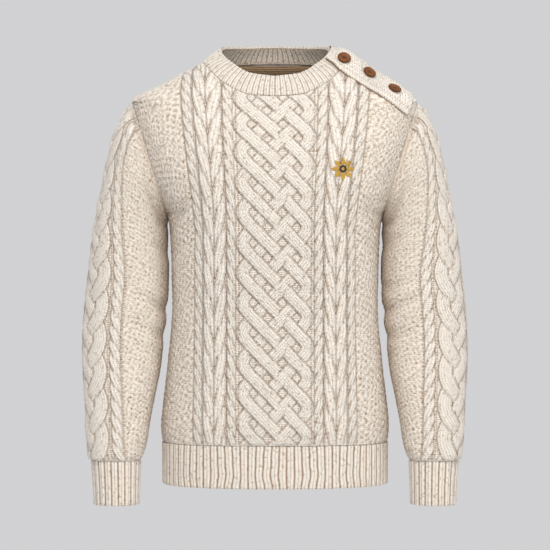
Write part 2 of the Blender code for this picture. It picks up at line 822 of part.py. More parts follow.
def collar_edge(angle):
    """Top edge of the collar, by its angle from the front, in degrees to +X."""
    turn = math.radians(angle)
    depth = COLLAR_SIDE - COLLAR_FRONT if math.cos(turn) > 0 else COLLAR_BACK - COLLAR_SIDE
    around = abs(((angle + 180) % 360) - 180)
    return np.array(
        [
            COLLAR_HALF_WIDTH * math.sin(turn),
            COLLAR_SIDE - depth * math.cos(turn),
            float(collar_top_z(around)),
        ]
    )


def neck_loop():
    """The whole neckline as close points, front middle, +X side, back, -X side."""
    xs = NECK_HALF_WIDTH * np.sin(np.linspace(0, math.pi / 2, 120))
    quarters = []
    for side in (-1, 1):
        z = neck_z(xs, side)
        y = body_y(xs, z, side)
        y[-1] = 0
        quarters.append(np.stack([xs, y, z], axis=-1))
    front, back = quarters
    flip = np.array([-1.0, 1.0, 1.0])
    return np.concatenate([front, back[-2::-1], back[1:] * flip, front[-2::-1] * flip])


LOOP = neck_loop()
LOOP_SHARE = lengths_along(LOOP) / lengths_along(LOOP)[-1]
EDGE = np.array([collar_edge(angle) for angle in range(361)])
EDGE_SHARE = lengths_along(EDGE) / lengths_along(EDGE)[-1]


def collar_point(share, up):
    """A point of the collar's form: share round it from the front middle, share up it."""
    share = share % 1.0
    low = np.array([np.interp(share, LOOP_SHARE, LOOP[:, k]) for k in range(3)])
    high = np.array([np.interp(share, EDGE_SHARE, EDGE[:, k]) for k in range(3)])
    out = np.array([low[0], low[1] * 0.7, 0.0])
    return low + (high - low) * up + unit(out) * COLLAR_BULGE * 4 * up * (1 - up)


def collar_normal(share, up):
    d = 0.004
    around = collar_point(share + d, up) - collar_point(share - d, up)
    rise = collar_point(share, min(up + 0.05, 1.0)) - collar_point(share, max(up - 0.05, 0.0))
    return unit(np.cross(around, rise))


def make_collar(panels):
    """Collar: its lowest ring repeats the panels' neckline points, a seam's width away."""

    def seam_ring(inner):
        front, back = panels[-1][inner], panels[1][inner]
        chosen_front = [c for c in front if abs(c.place) <= NECK_COLUMN]
        chosen_back = [c for c in back if abs(c.place) < NECK_COLUMN]
        order = [c for c in chosen_front if c.place >= 0]
        order += chosen_back[::-1]
        order += [c for c in chosen_front if c.place < 0]
        ring = []
        for column in order:
            point = column.points[-1].copy()
            side = -1 if column in chosen_front else 1
            place = abs(column.place)
            across = neck_direction(float(column_top_x(place)), side)
            if column.place < 0:
                across = across * np.array([-1.0, 1.0, 1.0])
            point += 2 * HALF_GAP * across
            if place == NECK_COLUMN:
                point[1] = 0.0
            ring.append(point)
        gaps = np.linalg.norm(LOOP[None] - np.array(ring)[:, None], axis=-1)
        shares = LOOP_SHARE[np.argmin(gaps, axis=1)]
        shares[0] = 0.0
        return ring, list(shares)

    piece = Piece("collar")
    rings = {}
    for inner in (0, 1):
        points, shares = seam_ring(inner)
        rows = [(piece.line(points), shares)]
        count = 44 if inner else 2 * COLLAR_RIBS
        for up in (COLLAR_ROWS[:1] + COLLAR_ROWS[-1:]) if inner else COLLAR_ROWS:
            ring = []
            for k in range(count):
                share = k / count
                normal = collar_normal(share, up)
                lift = -COLLAR_WALL if inner else RIB_RISE * (k % 2) * (0.35 if up == 1 else 1)
                ring.append(collar_point(share, up) + normal * lift)
            rows.append((piece.line(ring), [k / count for k in range(count)]))
        for (a, at_a), (b, at_b) in zip(rows, rows[1:]):
            closed_a, closed_b = a + a[:1], b + b[:1]
            span_a, span_b = at_a + [1.0], at_b + [1.0]
            if inner:
                piece.strip(closed_a, closed_b, span_a, span_b)
            else:
                piece.strip(closed_b, closed_a, span_b, span_a)
        rings[inner] = rows
    for row, flip in ((0, False), (-1, True)):
        (a, at_a), (b, at_b) = rings[0][row], rings[1][row]
        if flip:
            piece.strip(b + b[:1], a + a[:1], at_b + [1.0], at_a + [1.0])
        else:
            piece.strip(a + a[:1], b + b[:1], at_a + [1.0], at_b + [1.0])
    piece.finish()


def body_height(x, y):
    """Height of the shoulder's form over a point, by halving."""
    side = -1 if y < 0 else 1
    low, high = SHOULDER_Z - 0.03, NECK_CORNER_Z
    for _ in range(40):
        middle = (low + high) / 2
        if abs(float(body_y(x, middle, side))) > abs(y):
            low = middle
        else:
            high = middle
    return (low + high) / 2


def on_body(x, z, side, lift):
    x, z = np.array(x), np.array(z)
    y = body_y(x, z, side)
    return np.array([x, y, z]) + lift * body_normal(x, y, z, side)


def placket_ground():
    """Close points of the shoulder and the collar, their normals, and the height to keep above each."""
    lift = PLACKET_WALL + PLACKET_CLEAR
    points, normals, keep = [], [], []
    for share in np.linspace(0.14, 0.36, 56):
        for up in np.linspace(0, 1, 14):
            points.append(collar_point(share, up))
            normals.append(collar_normal(share, up))
            keep.append(lift + RIB_RISE + 2 * HALF_GAP)
    for z in np.linspace(-0.085, 0.003, 45):
        wide = float(half_width(z))
        for x in np.linspace(0.10, wide, 50) if wide > 0.10 else ():
            for side in (-1, 1):
                points.append(on_body(x, z, side, 0.0))
                normals.append(on_body(x, z, side, 1.0) - points[-1])
                keep.append(lift)
    return np.array(points), np.array(normals), np.array(keep)


def placket_frame():
    """Outer points of the placket: for each station its front edge, ridge, crest and back edge."""
    lift = PLACKET_WALL + PLACKET_CLEAR
    crest = np.array(PLACKET_CREST)
    front, ridge, back = PLACKET_ON_COLLAR
    over_ribs = lift + RIB_RISE
    ends = [collar_point(*at) + over_ribs * collar_normal(*at) for at in (front, back)]
    stations = [(ends[0], np.array(ridge), np.array(ridge) + crest, ends[1])]
    for front_x, front_z, x, y, z, back_x, back_y in PLACKET:
        edge = on_body(front_x, front_z, -1, lift)
        low = on_body(back_x, body_height(back_x, back_y), 1, lift)
        top = np.array([x, y, z])
        stations.append((edge, top, top + crest, low))
    return np.array(stations)


def placket_surface():
    """The placket's outer form, as a function of the share along it and the share across it."""
    frame = placket_frame()
    count = len(frame)
    along = smooth_curve(np.linspace(0, 1, count), frame.reshape(count, -1))
    ground, normals, keep = placket_ground()

    def surface(u, v):
        four = along(np.array(u)).reshape(4, 3)
        point = smooth_curve([0.0, 0.4, 0.65, 1.0], four)(np.array(v))
        nearest = np.argmin(((ground - point) ** 2).sum(axis=1))
        height = float((point - ground[nearest]) @ normals[nearest])
        return point + max(keep[nearest] - height, 0.0) * normals[nearest]

    return surface


def surface_normal(surface, u, v):
    d = 0.01
    along = surface(min(u + d, 1), v) - surface(max(u - d, 0), v)
    across = surface(u, min(v + d, 1)) - surface(u, max(v - d, 0))
    return unit(np.cross(along, across))


def make_placket(surface):
    outer, inner = [], []
    for u in np.linspace(0, 1, PLACKET_STATIONS):
        top = np.array([surface(u, v) for v in PLACKET_ACROSS])
        normals = np.array([surface_normal(surface, u, v) for v in PLACKET_ACROSS])
        outer.append(Column(u, top, PLACKET_ACROSS))
        inner.append(Column(u, top - PLACKET_WALL * normals, PLACKET_ACROSS))
    build_wall("shoulder_placket", outer, inner, closed=False).finish()


def placket_facets(surface):
    """Close places on the placket's flat facets: share along and share across of each, and its point."""
    stations = np.linspace(0, 1, PLACKET_STATIONS)
    along, across = np.linspace(0, 1, 61), np.linspace(0, 0.8, 41)
    corners = [[surface(u, v) for v in PLACKET_ACROSS] for u in stations]
    lines = np.array([at_lengths(np.array(line), PLACKET_ACROSS, across) for line in corners])
    points = [at_lengths(lines[:, k], stations, along) for k in range(len(across))]
    return [(u, v) for v in across for u in along], np.concatenate(points)


def turned_button(name):
    """The button's outline turned about Z, with four holes drilled through it."""
    points = [(radius, 0.0, height) for radius, height in reversed(BUTTON_OUTLINE)]
    mesh = bpy.data.meshes.new(name)
    mesh.from_pydata(points, [(k, k + 1) for k in range(len(points) - 1)], [])
    button = bpy.data.objects.new(name, mesh)
    bpy.data.collections[PARTS].objects.link(button)
    turn = button.modifiers.new("turn", "SCREW")
    turn.steps = BUTTON_SIDES
    turn.render_steps = BUTTON_SIDES
    turn.use_merge_vertices = True
    turn.merge_threshold = 0.01 * MM
    for x in (-BUTTON_HOLE_OFFSET, BUTTON_HOLE_OFFSET):
        for y in (-BUTTON_HOLE_OFFSET, BUTTON_HOLE_OFFSET):
            bpy.ops.mesh.primitive_cylinder_add(
                vertices=BUTTON_HOLE_SIDES, radius=BUTTON_HOLE, depth=20 * MM, location=(x, y, 0)
            )
            drill = bpy.context.object
            drill.name = f"{name}_drill"
            drill.hide_render = True
            drill.display_type = "WIRE"
            drill.parent = button
            for collection in drill.users_collection:
                collection.objects.unlink(drill)
            bpy.data.collections[CUTTERS].objects.link(drill)
            cut = button.modifiers.new("hole", "BOOLEAN")
            cut.operation = "DIFFERENCE"
            cut.object = drill
    return button


def make_button(number, surface, x, z):
    """A turned wooden button with four holes, just clear of the band it is sewn to."""
    places, points = placket_facets(surface)
    nearest = np.argmin(np.hypot(points[:, 0] - x, points[:, 2] - z))
    point = points[nearest]
    facing = surface_normal(surface, *places[nearest])
    heights = (points - point) @ facing
    below = np.linalg.norm(points - point, axis=1) < BUTTON_OUTLINE[2][0] + MM
    seat = point + (heights[below].max() + BUTTON_CLEAR) * facing
    button = turned_button(f"button_{number}")
    button.data.materials.append(material("wood", WOOD, 0.45))
    button.location = seat
    button.rotation_mode = "QUATERNION"
    button.rotation_quaternion = mathutils.Vector(facing).to_track_quat("Z", "Y")


def main():
    for obj in list(bpy.data.objects):
        bpy.data.objects.remove(obj)
    for name in (PARTS, CUTTERS):
        bpy.context.scene.collection.children.link(bpy.data.collections.new(name))
    panels = {-1: make_panel("front_panel", -1), 1: make_panel("back_panel", 1)}
    make_hem("hem_rib_front", -1)
    make_hem("hem_rib_back", 1)
    for hand in ("left", "right"):
        make_sleeve("sleeve_" + hand, hand)
        make_cuff("cuff_" + hand, hand)
    make_collar(panels)
    surface = placket_surface()
    make_placket(surface)
    for number, (x, z) in enumerate(BUTTONS, 1):
        make_button(number, surface, x, z)


main()
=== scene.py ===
"""Fisherman sweater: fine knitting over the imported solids, turned buttons, soft studio light.

Metres, Z up, front towards -Y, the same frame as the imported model.
Every knitted piece is a thin shell: an outside with its cables and ribs, and a plainer inside.
"""

import math

import bpy
import mathutils
from mathutils.bvhtree import BVHTree
import numpy as np
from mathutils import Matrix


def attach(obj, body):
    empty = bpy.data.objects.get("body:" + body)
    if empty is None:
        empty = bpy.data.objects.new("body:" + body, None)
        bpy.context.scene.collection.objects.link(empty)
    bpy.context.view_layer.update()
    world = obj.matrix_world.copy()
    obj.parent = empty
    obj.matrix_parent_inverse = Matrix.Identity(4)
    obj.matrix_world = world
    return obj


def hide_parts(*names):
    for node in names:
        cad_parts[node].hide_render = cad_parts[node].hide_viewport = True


MM = 0.001

# Walls and seams
WALL = 3.5 * MM
COLLAR_WALL = 4.0 * MM
HALF_GAP = 0.15 * MM
FADE = 4 * MM

# Knitting: one repeat of the lattice and of the plait, one wale and one row
REPEAT = 46.6 * MM
PLAIT_REPEAT = 52 * MM
WALE = 4.2 * MM
ROW = 3.4 * MM

# Body slices, bottom to top: height, half width, depth of the front, depth of the back
SLICE_POWER = 2.4
BODY = (
    (-0.665, 0.1780, 0.120, 0.110),
    (-0.598, 0.1785, 0.120, 0.110),
    (-0.573, 0.1800, 0.122, 0.112),
    (-0.534, 0.1765, 0.120, 0.109),
    (-0.496, 0.1720, 0.118, 0.106),
    (-0.458, 0.1680, 0.117, 0.103),
    (-0.420, 0.1640, 0.116, 0.100),
    (-0.380, 0.1620, 0.117, 0.100),
    (-0.340, 0.1630, 0.120, 0.102),
    (-0.300, 0.1640, 0.124, 0.106),
    (-0.260, 0.1665, 0.127, 0.110),
    (-0.240, 0.1700, 0.128, 0.112),
    (-0.225, 0.1785, 0.128, 0.114),
    (-0.190, 0.1970, 0.127, 0.115),
    (-0.150, 0.2120, 0.122, 0.115),
    (-0.104, 0.2230, 0.109, 0.110),
    (-0.059, 0.2270, 0.0905, 0.0995),
    (-0.030, 0.1770, 0.078, 0.088),
    (0.004, 0.1150, 0.062, 0.067),
    (0.012, 0.1005, 0.056, 0.062),
)

# The armhole lies in one plane, from the underarm to the shoulder point
UNDERARM_X, UNDERARM_Z = 0.170, -0.240
SHOULDER_X, SHOULDER_Z = 0.227, -0.059

# Front neckline: distance from the middle, height
FRONT_NECK = (
    (0.000, -0.0555),
    (0.039, -0.0525),
    (0.0652, -0.0420),
    (0.0916, -0.0235),
    (0.104, -0.0090),
    (0.111, -0.0010),
    (0.115, 0.0040),
)
NECK_HALF_WIDTH = 0.115
NECK_CORNER_Z = 0.004
BACK_NECK_RISE = 0.004

# Places across a panel, in mm from its middle, and those of its plainer inside
NECK_COLUMN = 103
MOSS_START = 132
PANEL_EDGE = 245
INNER_PLACES = (0.0, 20, 40, 60, 80, 103, 118, 132, 150, 168, 186, 205, 225, 245)
# Rows up a panel, outside and inside
PANEL_ROWS, INNER_PANEL_ROWS = 286, 60
# Where places come out on the top edge: mm from the middle, and x
COLUMN_TOP = (
    (0, 0.000),
    (50, 0.0550),
    (76, 0.0840),
    (88, 0.0985),
    (95.5, 0.1085),
    (103, 0.1150),
    (132, 0.1440),
    (245, 0.2270),
)
SPREAD_FROM_Z = -0.27
PANEL_BOTTOM_Z = -0.598

# Sleeve slices, shoulder to cuff: outer x and z, inner x and z, half depth, middle y
SLEEVE = (
    (0.2384, -0.0736, 0.1712, -0.2460, 0.0600, 0.000),
    (0.2490, -0.0930, 0.1722, -0.2520, 0.0625, 0.000),
    (0.2605, -0.1250, 0.1725, -0.2600, 0.0640, 0.000),
    (0.2700, -0.1680, 0.1725, -0.2720, 0.0650, 0.000),
    (0.2784, -0.2080, 0.1720, -0.2880, 0.0650, 0.000),
    (0.2864, -0.2460, 0.1712, -0.3060, 0.0645, 0.000),
    (0.2920, -0.2850, 0.1708, -0.3250, 0.0635, -0.001),
    (0.2985, -0.3450, 0.1712, -0.3500, 0.0620, -0.002),
    (0.3035, -0.3920, 0.1740, -0.3920, 0.0600, -0.004),
    (0.3055, -0.4380, 0.1790, -0.4380, 0.0580, -0.010),
    (0.3045, -0.4800, 0.1830, -0.4800, 0.0550, -0.018),
    (0.3010, -0.5200, 0.1905, -0.5200, 0.0525, -0.026),
    (0.2985, -0.5600, 0.1980, -0.5600, 0.0490, -0.034),
    (0.2960, -0.6000, 0.2040, -0.6000, 0.0450, -0.042),
    (0.2925, -0.6180, 0.2095, -0.6180, 0.0410, -0.046),
    (0.2890, -0.6250, 0.2130, -0.6250, 0.0375, -0.047),
)
CUFF = (
    (0.2885, -0.6250, 0.2130, -0.6250, 0.0370, -0.047),
    (0.2870, -0.6400, 0.2135, -0.6400, 0.0360, -0.049),
    (0.2845, -0.6700, 0.2142, -0.6700, 0.0350, -0.053),
    (0.2835, -0.6940, 0.2145, -0.6940, 0.0345, -0.055),
)
SLEEVE_POWER = 2.15
PLAIT_EDGE = 55
CUFF_HEIGHT = 69 * MM
# Grids outside and inside: points round the moss, mm between points on the plait, rows
SLEEVE_GRID = (140, 1.2, 270)
INNER_SLEEVE_GRID = (24, 10, 50)
# Middle of the plait, degrees from straight out: at the shoulder, and from the elbow down
PLAIT_TURN = {"left": (12, 50), "right": (14, 42)}

# Collar top edge: degrees from the front, height
COLLAR_TOP = (
    (0, -0.0236),
    (25, -0.0184),
    (52, 0.0005),
    (75, 0.0167),
    (90, 0.0265),
    (120, 0.0330),
    (180, 0.0365),
)
COLLAR_HALF_WIDTH = 0.086
COLLAR_FRONT = -0.072
COLLAR_SIDE = -0.005
COLLAR_BACK = 0.055
COLLAR_RIBS = 72
COLLAR_BULGE = 2.5 * MM
COLLAR_RISE = 1.8 * MM
# How much of the painted inside shade the collar's inside has
COLLAR_INSIDE_SHADE = 0.12
# Points to a rib, rows on each side, one row's length, and loops that link it on
COLLAR_POINTS, COLLAR_ROWS = 10, 24
COLLAR_ROW = 1.9 * MM
LINK_LOOPS = 150

# Ribbing: rise outside and inside, points to a rib and rows outside and inside
RIB_RISE = 2.4 * MM
INNER_RIB_RISE = 0.9 * MM
RIB_POINTS, INNER_RIB_POINTS = 12, 4
RIB_ROWS, INNER_RIB_ROWS = 26, 8
ROUNDED = (30, 60, 90)
HEM_RIBS = 41
HEM_TOP_Z, HEM_BOTTOM_Z = -0.5983, -0.665
CUFF_RIBS = 22

# Placket over the left shoulder: front edge x, z; ridge x, y, z; back edge x, y
PLACKET = (
    (0.1040, -0.0151, 0.1065, -0.030, 0.0235, 0.109, 0.024),
    (0.1290, -0.0327, 0.1304, -0.030, 0.0110, 0.130, 0.026),
    (0.1475, -0.0440, 0.1480, -0.029, -0.0015, 0.148, 0.026),
    (0.1650, -0.0540, 0.1640, -0.028, -0.0135, 0.164, 0.026),
    (0.1870, -0.0697, 0.1870, -0.026, -0.0260, 0.187, 0.024),
    (0.2055, -0.0830, 0.2145, -0.022, -0.0465, 0.214, 0.015),
)
# On the collar: front edge by share round and share up, the ridge, and the back edge likewise
PLACKET_ON_COLLAR = ((0.186, 0.86), (0.0885, -0.022, 0.0245), (0.305, 0.93))
# The crest's place behind the ridge, and where the solid's facets turn across the band
PLACKET_CREST = (0.0, 0.017, 0.0046)
PLACKET_ACROSS = (0.0, 0.13, 0.27, 0.4, 0.52, 0.65, 0.82, 1.0)
PLACKET_STATIONS = 14
PLACKET_LENGTH, PLACKET_WIDTH = 155 * MM, 75 * MM
PLACKET_WALL = 3.6 * MM
PLACKET_LIP = 2.2 * MM
PLACKET_CLEAR = 2.8 * MM
# Its rounded edge, and the shallow channel beside that
EDGE_DROP, EDGE_REACH = 1.4 * MM, 2.2 * MM
CHANNEL_DEPTH, CHANNEL_PLACE, CHANNEL_WIDTH = 0.5 * MM, 5.5 * MM, 1.2 * MM
# How far the panels lie flat under it: behind, and past its front edge
UNDER_PLACKET_BACK = 40 * MM
UNDER_PLACKET_MARGIN = 3 * MM

# Buttons: where the middle lies on the band, in the front view
BUTTONS = ((0.1080, 0.0080), (0.1481, -0.0156), (0.1879, -0.0408))
BUTTON_CLEAR = 0.4 * MM
BUTTON_RADIUS = 10.6 * MM
BUTTON_HOLE = 1.1 * MM
BUTTON_HOLE_OFFSET = 2.0 * MM
BUTTON_SPIN = 20
BUTTON_STEPS = 72
# Half of a button's outline: radius, height
BUTTON_OUTLINE = (
    (0.0000, 0.0002),
    (0.0086, 0.0002),
    (0.0099, 0.0006),
    (0.0105, 0.0016),
    (0.0106, 0.0026),
    (0.0103, 0.0036),
    (0.0096, 0.0040),
    (0.0089, 0.0039),
    (0.0082, 0.0034),
    (0.0074, 0.0030),
    (0.0064, 0.0028),
    (0.0000, 0.0028),
)

# Strands in mm: how far each swings, its half width, and where its field ends
LATTICE_SWING, LATTICE_HALF, LATTICE_END = 50, 10.2, 60
PLAIT_SWING, PLAIT_HALF, PLAIT_END = 18.5, 12.2, 31
# Share of the strands' full height, and how flat their tops are
RELIEF = 0.62
STRAND_FLAT = 3.0
# The painted shade line beside each strand, a stronger painted shadow on its left: half width in mm,
# strength on its left and on its right
EDGE_LINE = 1.15
EDGE_LEFT, EDGE_RIGHT = 0.95, 0.65
# Painted shade on the purl between strands
PURL_DEPTH = 0.86

# Creases: start x, z; end x, z; half width; depth
BODY_CREASES = (
    (-0.163, -0.262, -0.132, -0.205, 0.012, 0.0045),
    (0.163, -0.262, 0.132, -0.205, 0.012, 0.0045),
    (-0.160, -0.300, -0.118, -0.262, 0.014, 0.0030),
    (0.160, -0.300, 0.118, -0.262, 0.014, 0.0030),
)
SLEEVE_CREASES = {
    "left": (
        (0.176, -0.392, 0.236, -0.366, 0.013, 0.0050),
        (0.178, -0.352, 0.222, -0.345, 0.011, 0.0030),
        (0.182, -0.432, 0.232, -0.412, 0.014, 0.0040),
        (0.172, -0.290, 0.214, -0.258, 0.014, 0.0030),
        (0.176, -0.250, 0.214, -0.150, 0.012, 0.0045),
    ),
    "right": (
        (0.176, -0.388, 0.226, -0.358, 0.013, 0.0050),
        (0.178, -0.430, 0.224, -0.412, 0.013, 0.0035),
        (0.172, -0.300, 0.206, -0.262, 0.013, 0.0030),
        (0.176, -0.250, 0.214, -0.150, 0.012, 0.0050),
    ),
}

# Embroidered rosette on the chest: middle, how far its petals reach, gap between its stitches
ROSETTE_X, ROSETTE_Z = 0.105, -0.170
ROSETTE_REACH = 16.5 * MM
SATIN_GAP = 0.75 * MM

# Colours, as linear light, each with an alpha of 1
CREAM = (0.84, 0.775, 0.685, 1.0)
# Painted shade for grooves and the lines beside strands, also the darker heather tone
GROOVE_SHADE_AND_HEATHER = (0.27, 0.155, 0.062, 1.0)
SPECK = (0.25, 0.155, 0.075, 1.0)
# Painted shade for hollows where the surround is hidden, such as grooves and the underarm
SHADE = (0.42, 0.270, 0.135, 1.0)
# Painted shade for the insides, which are the same cream yarn
INSIDE_SHADE = (0.27, 0.165, 0.080, 1.0)
GOLD = (0.62, 0.36, 0.045, 1.0)
BLACK = (0.012, 0.011, 0.010, 1.0)
WOOD_LIGHT = (0.25, 0.090, 0.022, 1.0)
WOOD_DARK = (0.075, 0.024, 0.008, 1.0)
THREAD = (0.12, 0.055, 0.022, 1.0)
FLOOR = (0.64, 0.64, 0.65, 1.0)
SURROUND = (0.640, 0.640, 0.652, 1.0)

# Studio: the camera's height and distance, and the area lights: name, place, size, power
CAMERA_Z, CAMERA_AWAY, CAMERA_LENS = -0.334, 3.4, 139.1
LIGHTS = (
    ("top", (-0.1, -1.7, 2.0), 1.2, 42.0),
    ("right", (2.2, -2.0, 0.3), 1.4, 20.0),
    ("front", (0.0, -3.0, 0.2), 1.4, 34.0),
    ("back", (-0.8, 2.6, 1.0), 1.4, 40.0),
)


def smooth_curve(knots, values):
    """A smooth function through the table that never overshoots it."""
    knots = np.asarray(knots, float)
    values = np.asarray(values, float)
    steps = np.diff(knots)
    slopes = (np.diff(values, axis=0).T / steps).T
    before, after = slopes[:-1], slopes[1:]
    same = before * after > 0
    total = np.where(same, before + after, 1.0)
    middle = np.where(same, 2 * before * after / total, 0.0)
    tangents = np.concatenate([slopes[:1], middle, slopes[-1:]])

    def evaluate(at):
        at = np.clip(np.asarray(at, float), knots[0], knots[-1])
        i = np.clip(np.searchsorted(knots, at, side="right") - 1, 0, len(steps) - 1)
        width = steps[i]
        t = (at - knots[i]) / width
        if values.ndim > 1:
            t = t[..., None]
            width = width[..., None]
        rise = (3 - 2 * t) * t * t
        bend = values[i] * (1 - rise) + values[i + 1] * rise
        return bend + width * t * (1 - t) * ((1 - t) * tangents[i] - t * tangents[i + 1])

    return evaluate


def ease(t):
    t = np.clip(t, 0, 1)
    return t * t * (3 - 2 * t)


def unit(v):
    return v / np.maximum(np.linalg.norm(v, axis=-1, keepdims=True), 1e-12)


def lengths_along(points):
    gaps = np.linalg.norm(np.diff(points, axis=0), axis=1)
    return np.concatenate([[0], np.cumsum(gaps)])


def points_at(at, knots, points):
    """Points on the straight lines between the points at the knots."""
    return np.stack([np.interp(at, knots, axis) for axis in points.T], axis=-1)


def closed(line):
    return np.append(line, line[0])


body_table = np.array(BODY)
half_width = smooth_curve(body_table[:, 0], body_table[:, 1])
depths = {
    -1: smooth_curve(body_table[:, 0], body_table[:, 2]),
    1: smooth_curve(body_table[:, 0], body_table[:, 3]),
}
front_neck_z = smooth_curve(*np.array(FRONT_NECK).T)
column_top_x = smooth_curve(*np.array(COLUMN_TOP).T)
collar_top_z = smooth_curve(*np.array(COLLAR_TOP).T)


def armhole_x(z):
    share = (np.asarray(z, float) - UNDERARM_Z) / (SHOULDER_Z - UNDERARM_Z)
    return UNDERARM_X + share * (SHOULDER_X - UNDERARM_X)


def panel_edge_x(z):
    """Side seam below the underarm, armhole above it, shoulder seam above the shoulder point."""
    z = np.asarray(z, float)
    inside = (z > UNDERARM_Z) & (z < SHOULDER_Z)
    return np.where(inside, np.minimum(armhole_x(z), half_width(z)), half_width(z))


def body_y(x, z, side):
    left = 1 - (np.abs(x) / half_width(z)) ** SLICE_POWER
    return side * depths[side](z) * np.clip(left, 0, 1) ** (1 / SLICE_POWER)


def body_normal(x, y, z, side):
    """Outward normal of the body's form, from the slope of its slices."""
    n = SLICE_POWER
    w, d = half_width(z), depths[side](z)
    dz = 0.5 * MM
    w_slope = (half_width(z + dz) - half_width(z - dz)) / (2 * dz)
    d_slope = (depths[side](z + dz) - depths[side](z - dz)) / (2 * dz)
    along = np.abs(x) / w
    across = np.abs(y) / d
    nx = np.sign(x) * along ** (n - 1) / w
    ny = np.sign(y) * across ** (n - 1) / d
    nz = -(along**n * w_slope / w + across**n * d_slope / d)
    return unit(np.stack([nx, ny, nz], axis=-1))


def round_wave(t):
    """A triangle wave between -1 and 1 with rounded turns, period 1, rising through 0 at t = 0."""
    sharp = 0.975
    return np.arcsin(sharp * np.sin(2 * math.pi * t)) / math.asin(sharp)


class Knit:
    """The knitting at each point of a grid, x in mm across it and length in metres up it.

    It holds the rise, the stitches' directions, the painted shade, and what is purl.
    """

    def __init__(self, x, length):
        self.x = x
        self.length = length
        self.rise = np.zeros(x.shape)
        self.across = x * MM
        self.along = length
        self.purl = np.ones(x.shape)
        self.depth = np.full(x.shape, PURL_DEPTH)
        self.edges = []

    def strand(self, centre, slope, half, height, stretch, inside):
        """Lays down a strand, half wide each side in mm, wherever it is higher than what is there."""
        away = (self.x - centre) / np.sqrt(1 + slope**2)
        along = stretch * self.length
        height = RELIEF * height
        left = np.clip(1 - np.abs(away / half) ** STRAND_FLAT, 0, 1)
        rise = height * np.sqrt(left) - 0.3 * MM * (left <= 0)
        top = (rise > self.rise) & inside
        wales = round(2 * half * MM / WALE)
        self.rise = np.where(top, rise, self.rise)
        self.across = np.where(top, away / half * wales / 2 * WALE, self.across)
        self.along = np.where(top, along, self.along)
        self.purl = np.where(top, 0.0, self.purl)
        # Painted shade: the strand darkens towards its edges, where it turns down
        self.depth = np.where(top, 0.55 + 0.45 * ease(left * 3), self.depth)
        dots = 0.75 + 0.25 * np.cos(math.pi * along / ROW)
        strength = np.where(away < 0, EDGE_LEFT, EDGE_RIGHT) * dots * inside
        self.edges.append((np.abs(away) - half, height, strength))

    def shade_edges(self):
        """A thin line of painted shade along each strand, where what lies beside it is lower."""
        for away, height, strength in self.edges:
            line = np.exp(-((away / EDGE_LINE) ** 2)) * (self.rise < 0.8 * height) * strength
            self.depth = np.minimum(self.depth, 1 - line)

    def dot_lines(self, middles):
        """Dotted grooves between columns, cut in and darkened with painted shade, the same on both
        sides.
        """
        dots = 0.65 + 0.35 * np.cos(2 * math.pi * self.length / (1.7 * ROW))
        for middle in middles:
            line = np.exp(-(((np.abs(self.x) - middle) / EDGE_LINE) ** 2)) * dots
            self.depth = np.minimum(self.depth, 1 - 0.9 * line)
            self.rise = self.rise - 0.6 * MM * line

    def lattice(self):
        """Five strands crossing in diamonds: one leaning right passes over the others at one place."""
        step = 0.002
        rise_right = 3.1 + 2.9 * np.exp(-(((self.x - 10) / 8) ** 2))
        rise_left = 5.5 - 2.6 * np.exp(-(((self.x - 10) / 7) ** 2))
        for number in range(5):
            t = (self.length / REPEAT - number) / 5
            turned = round_wave(t + step) - round_wave(t - step)
            slope = LATTICE_SWING * MM * turned / (2 * step * 5 * REPEAT)
            share = ease(0.5 + slope / 0.5)
            height = (share * rise_right + (1 - share) * rise_left) * MM
            centre = LATTICE_SWING * round_wave(t)
            self.strand(centre, slope, LATTICE_HALF, height, 1.3, np.abs(self.x) < LATTICE_END)

    def rope(self, middle, half, period, hand, lift):
        """Two strands laid round each other, the upper one covering most of the rope."""
        reach = 0.36 * half
        for number in range(2):
            turn = math.pi * (self.length / period - number) * hand
            centre = middle + reach * np.cos(turn)
            slope = reach * MM * -np.sin(turn) * math.pi / period * hand
            height = (lift * (0.62 + 0.38 * np.sin(turn))) * MM
            inside = np.abs(self.x - middle) < half
            self.strand(centre, slope, 0.74 * half, height, 1.1, inside)

    def plait(self):
        """Three strands plaited."""
        for number in range(3):
            turn = 2 * math.pi * (self.length / (3 * PLAIT_REPEAT) + number / 3)
            centre = PLAIT_SWING * np.sin(turn)
            slope = PLAIT_SWING * MM * np.cos(turn) * 2 * math.pi / (3 * PLAIT_REPEAT)
            height = (4.6 + 1.9 * np.sin(2 * turn)) * MM
            self.strand(centre, slope, PLAIT_HALF, height, 1.25, np.abs(self.x) < PLAIT_END)

    def moss(self, start, size, shade):
        """Small alternating bumps, with a slightly uneven hand. Shade is how dark the painted shade
        makes the lowest.
        """
        up = self.length / MM / size
        across = self.x / size
        sway = 2.3 * np.sin(up / 8.3 + across / 10.0) + 1.9 * np.sin(across / 5.7 - up / 11.0)
        drift = 2.3 * np.sin(across / 7.1 + up / 17.0) + 1.8 * np.sin(up / 5.7 - across / 9.0)
        bumps = np.cos(2 * math.pi * (across + sway) / 10.4) * np.cos(2 * math.pi * (up + drift) / 9.8)
        bumps = 0.8 * bumps + 0.55 * np.sin(across / 2.3 + up / 3.7) * np.sin(up / 2.5 - across / 4.3)
        rise = (1.1 + 1.1 * bumps) * MM * size
        inside = np.abs(self.x) > start
        edge = ease((np.abs(self.x) - start) / 3)
        hollow_shade = 0.93 - shade * (1 - ease(0.75 + 0.9 * bumps))
        self.rise = np.where(inside, edge * rise, self.rise)
        self.purl = np.where(inside, 0.4, self.purl)
        self.depth = np.where(inside, hollow_shade, self.depth)


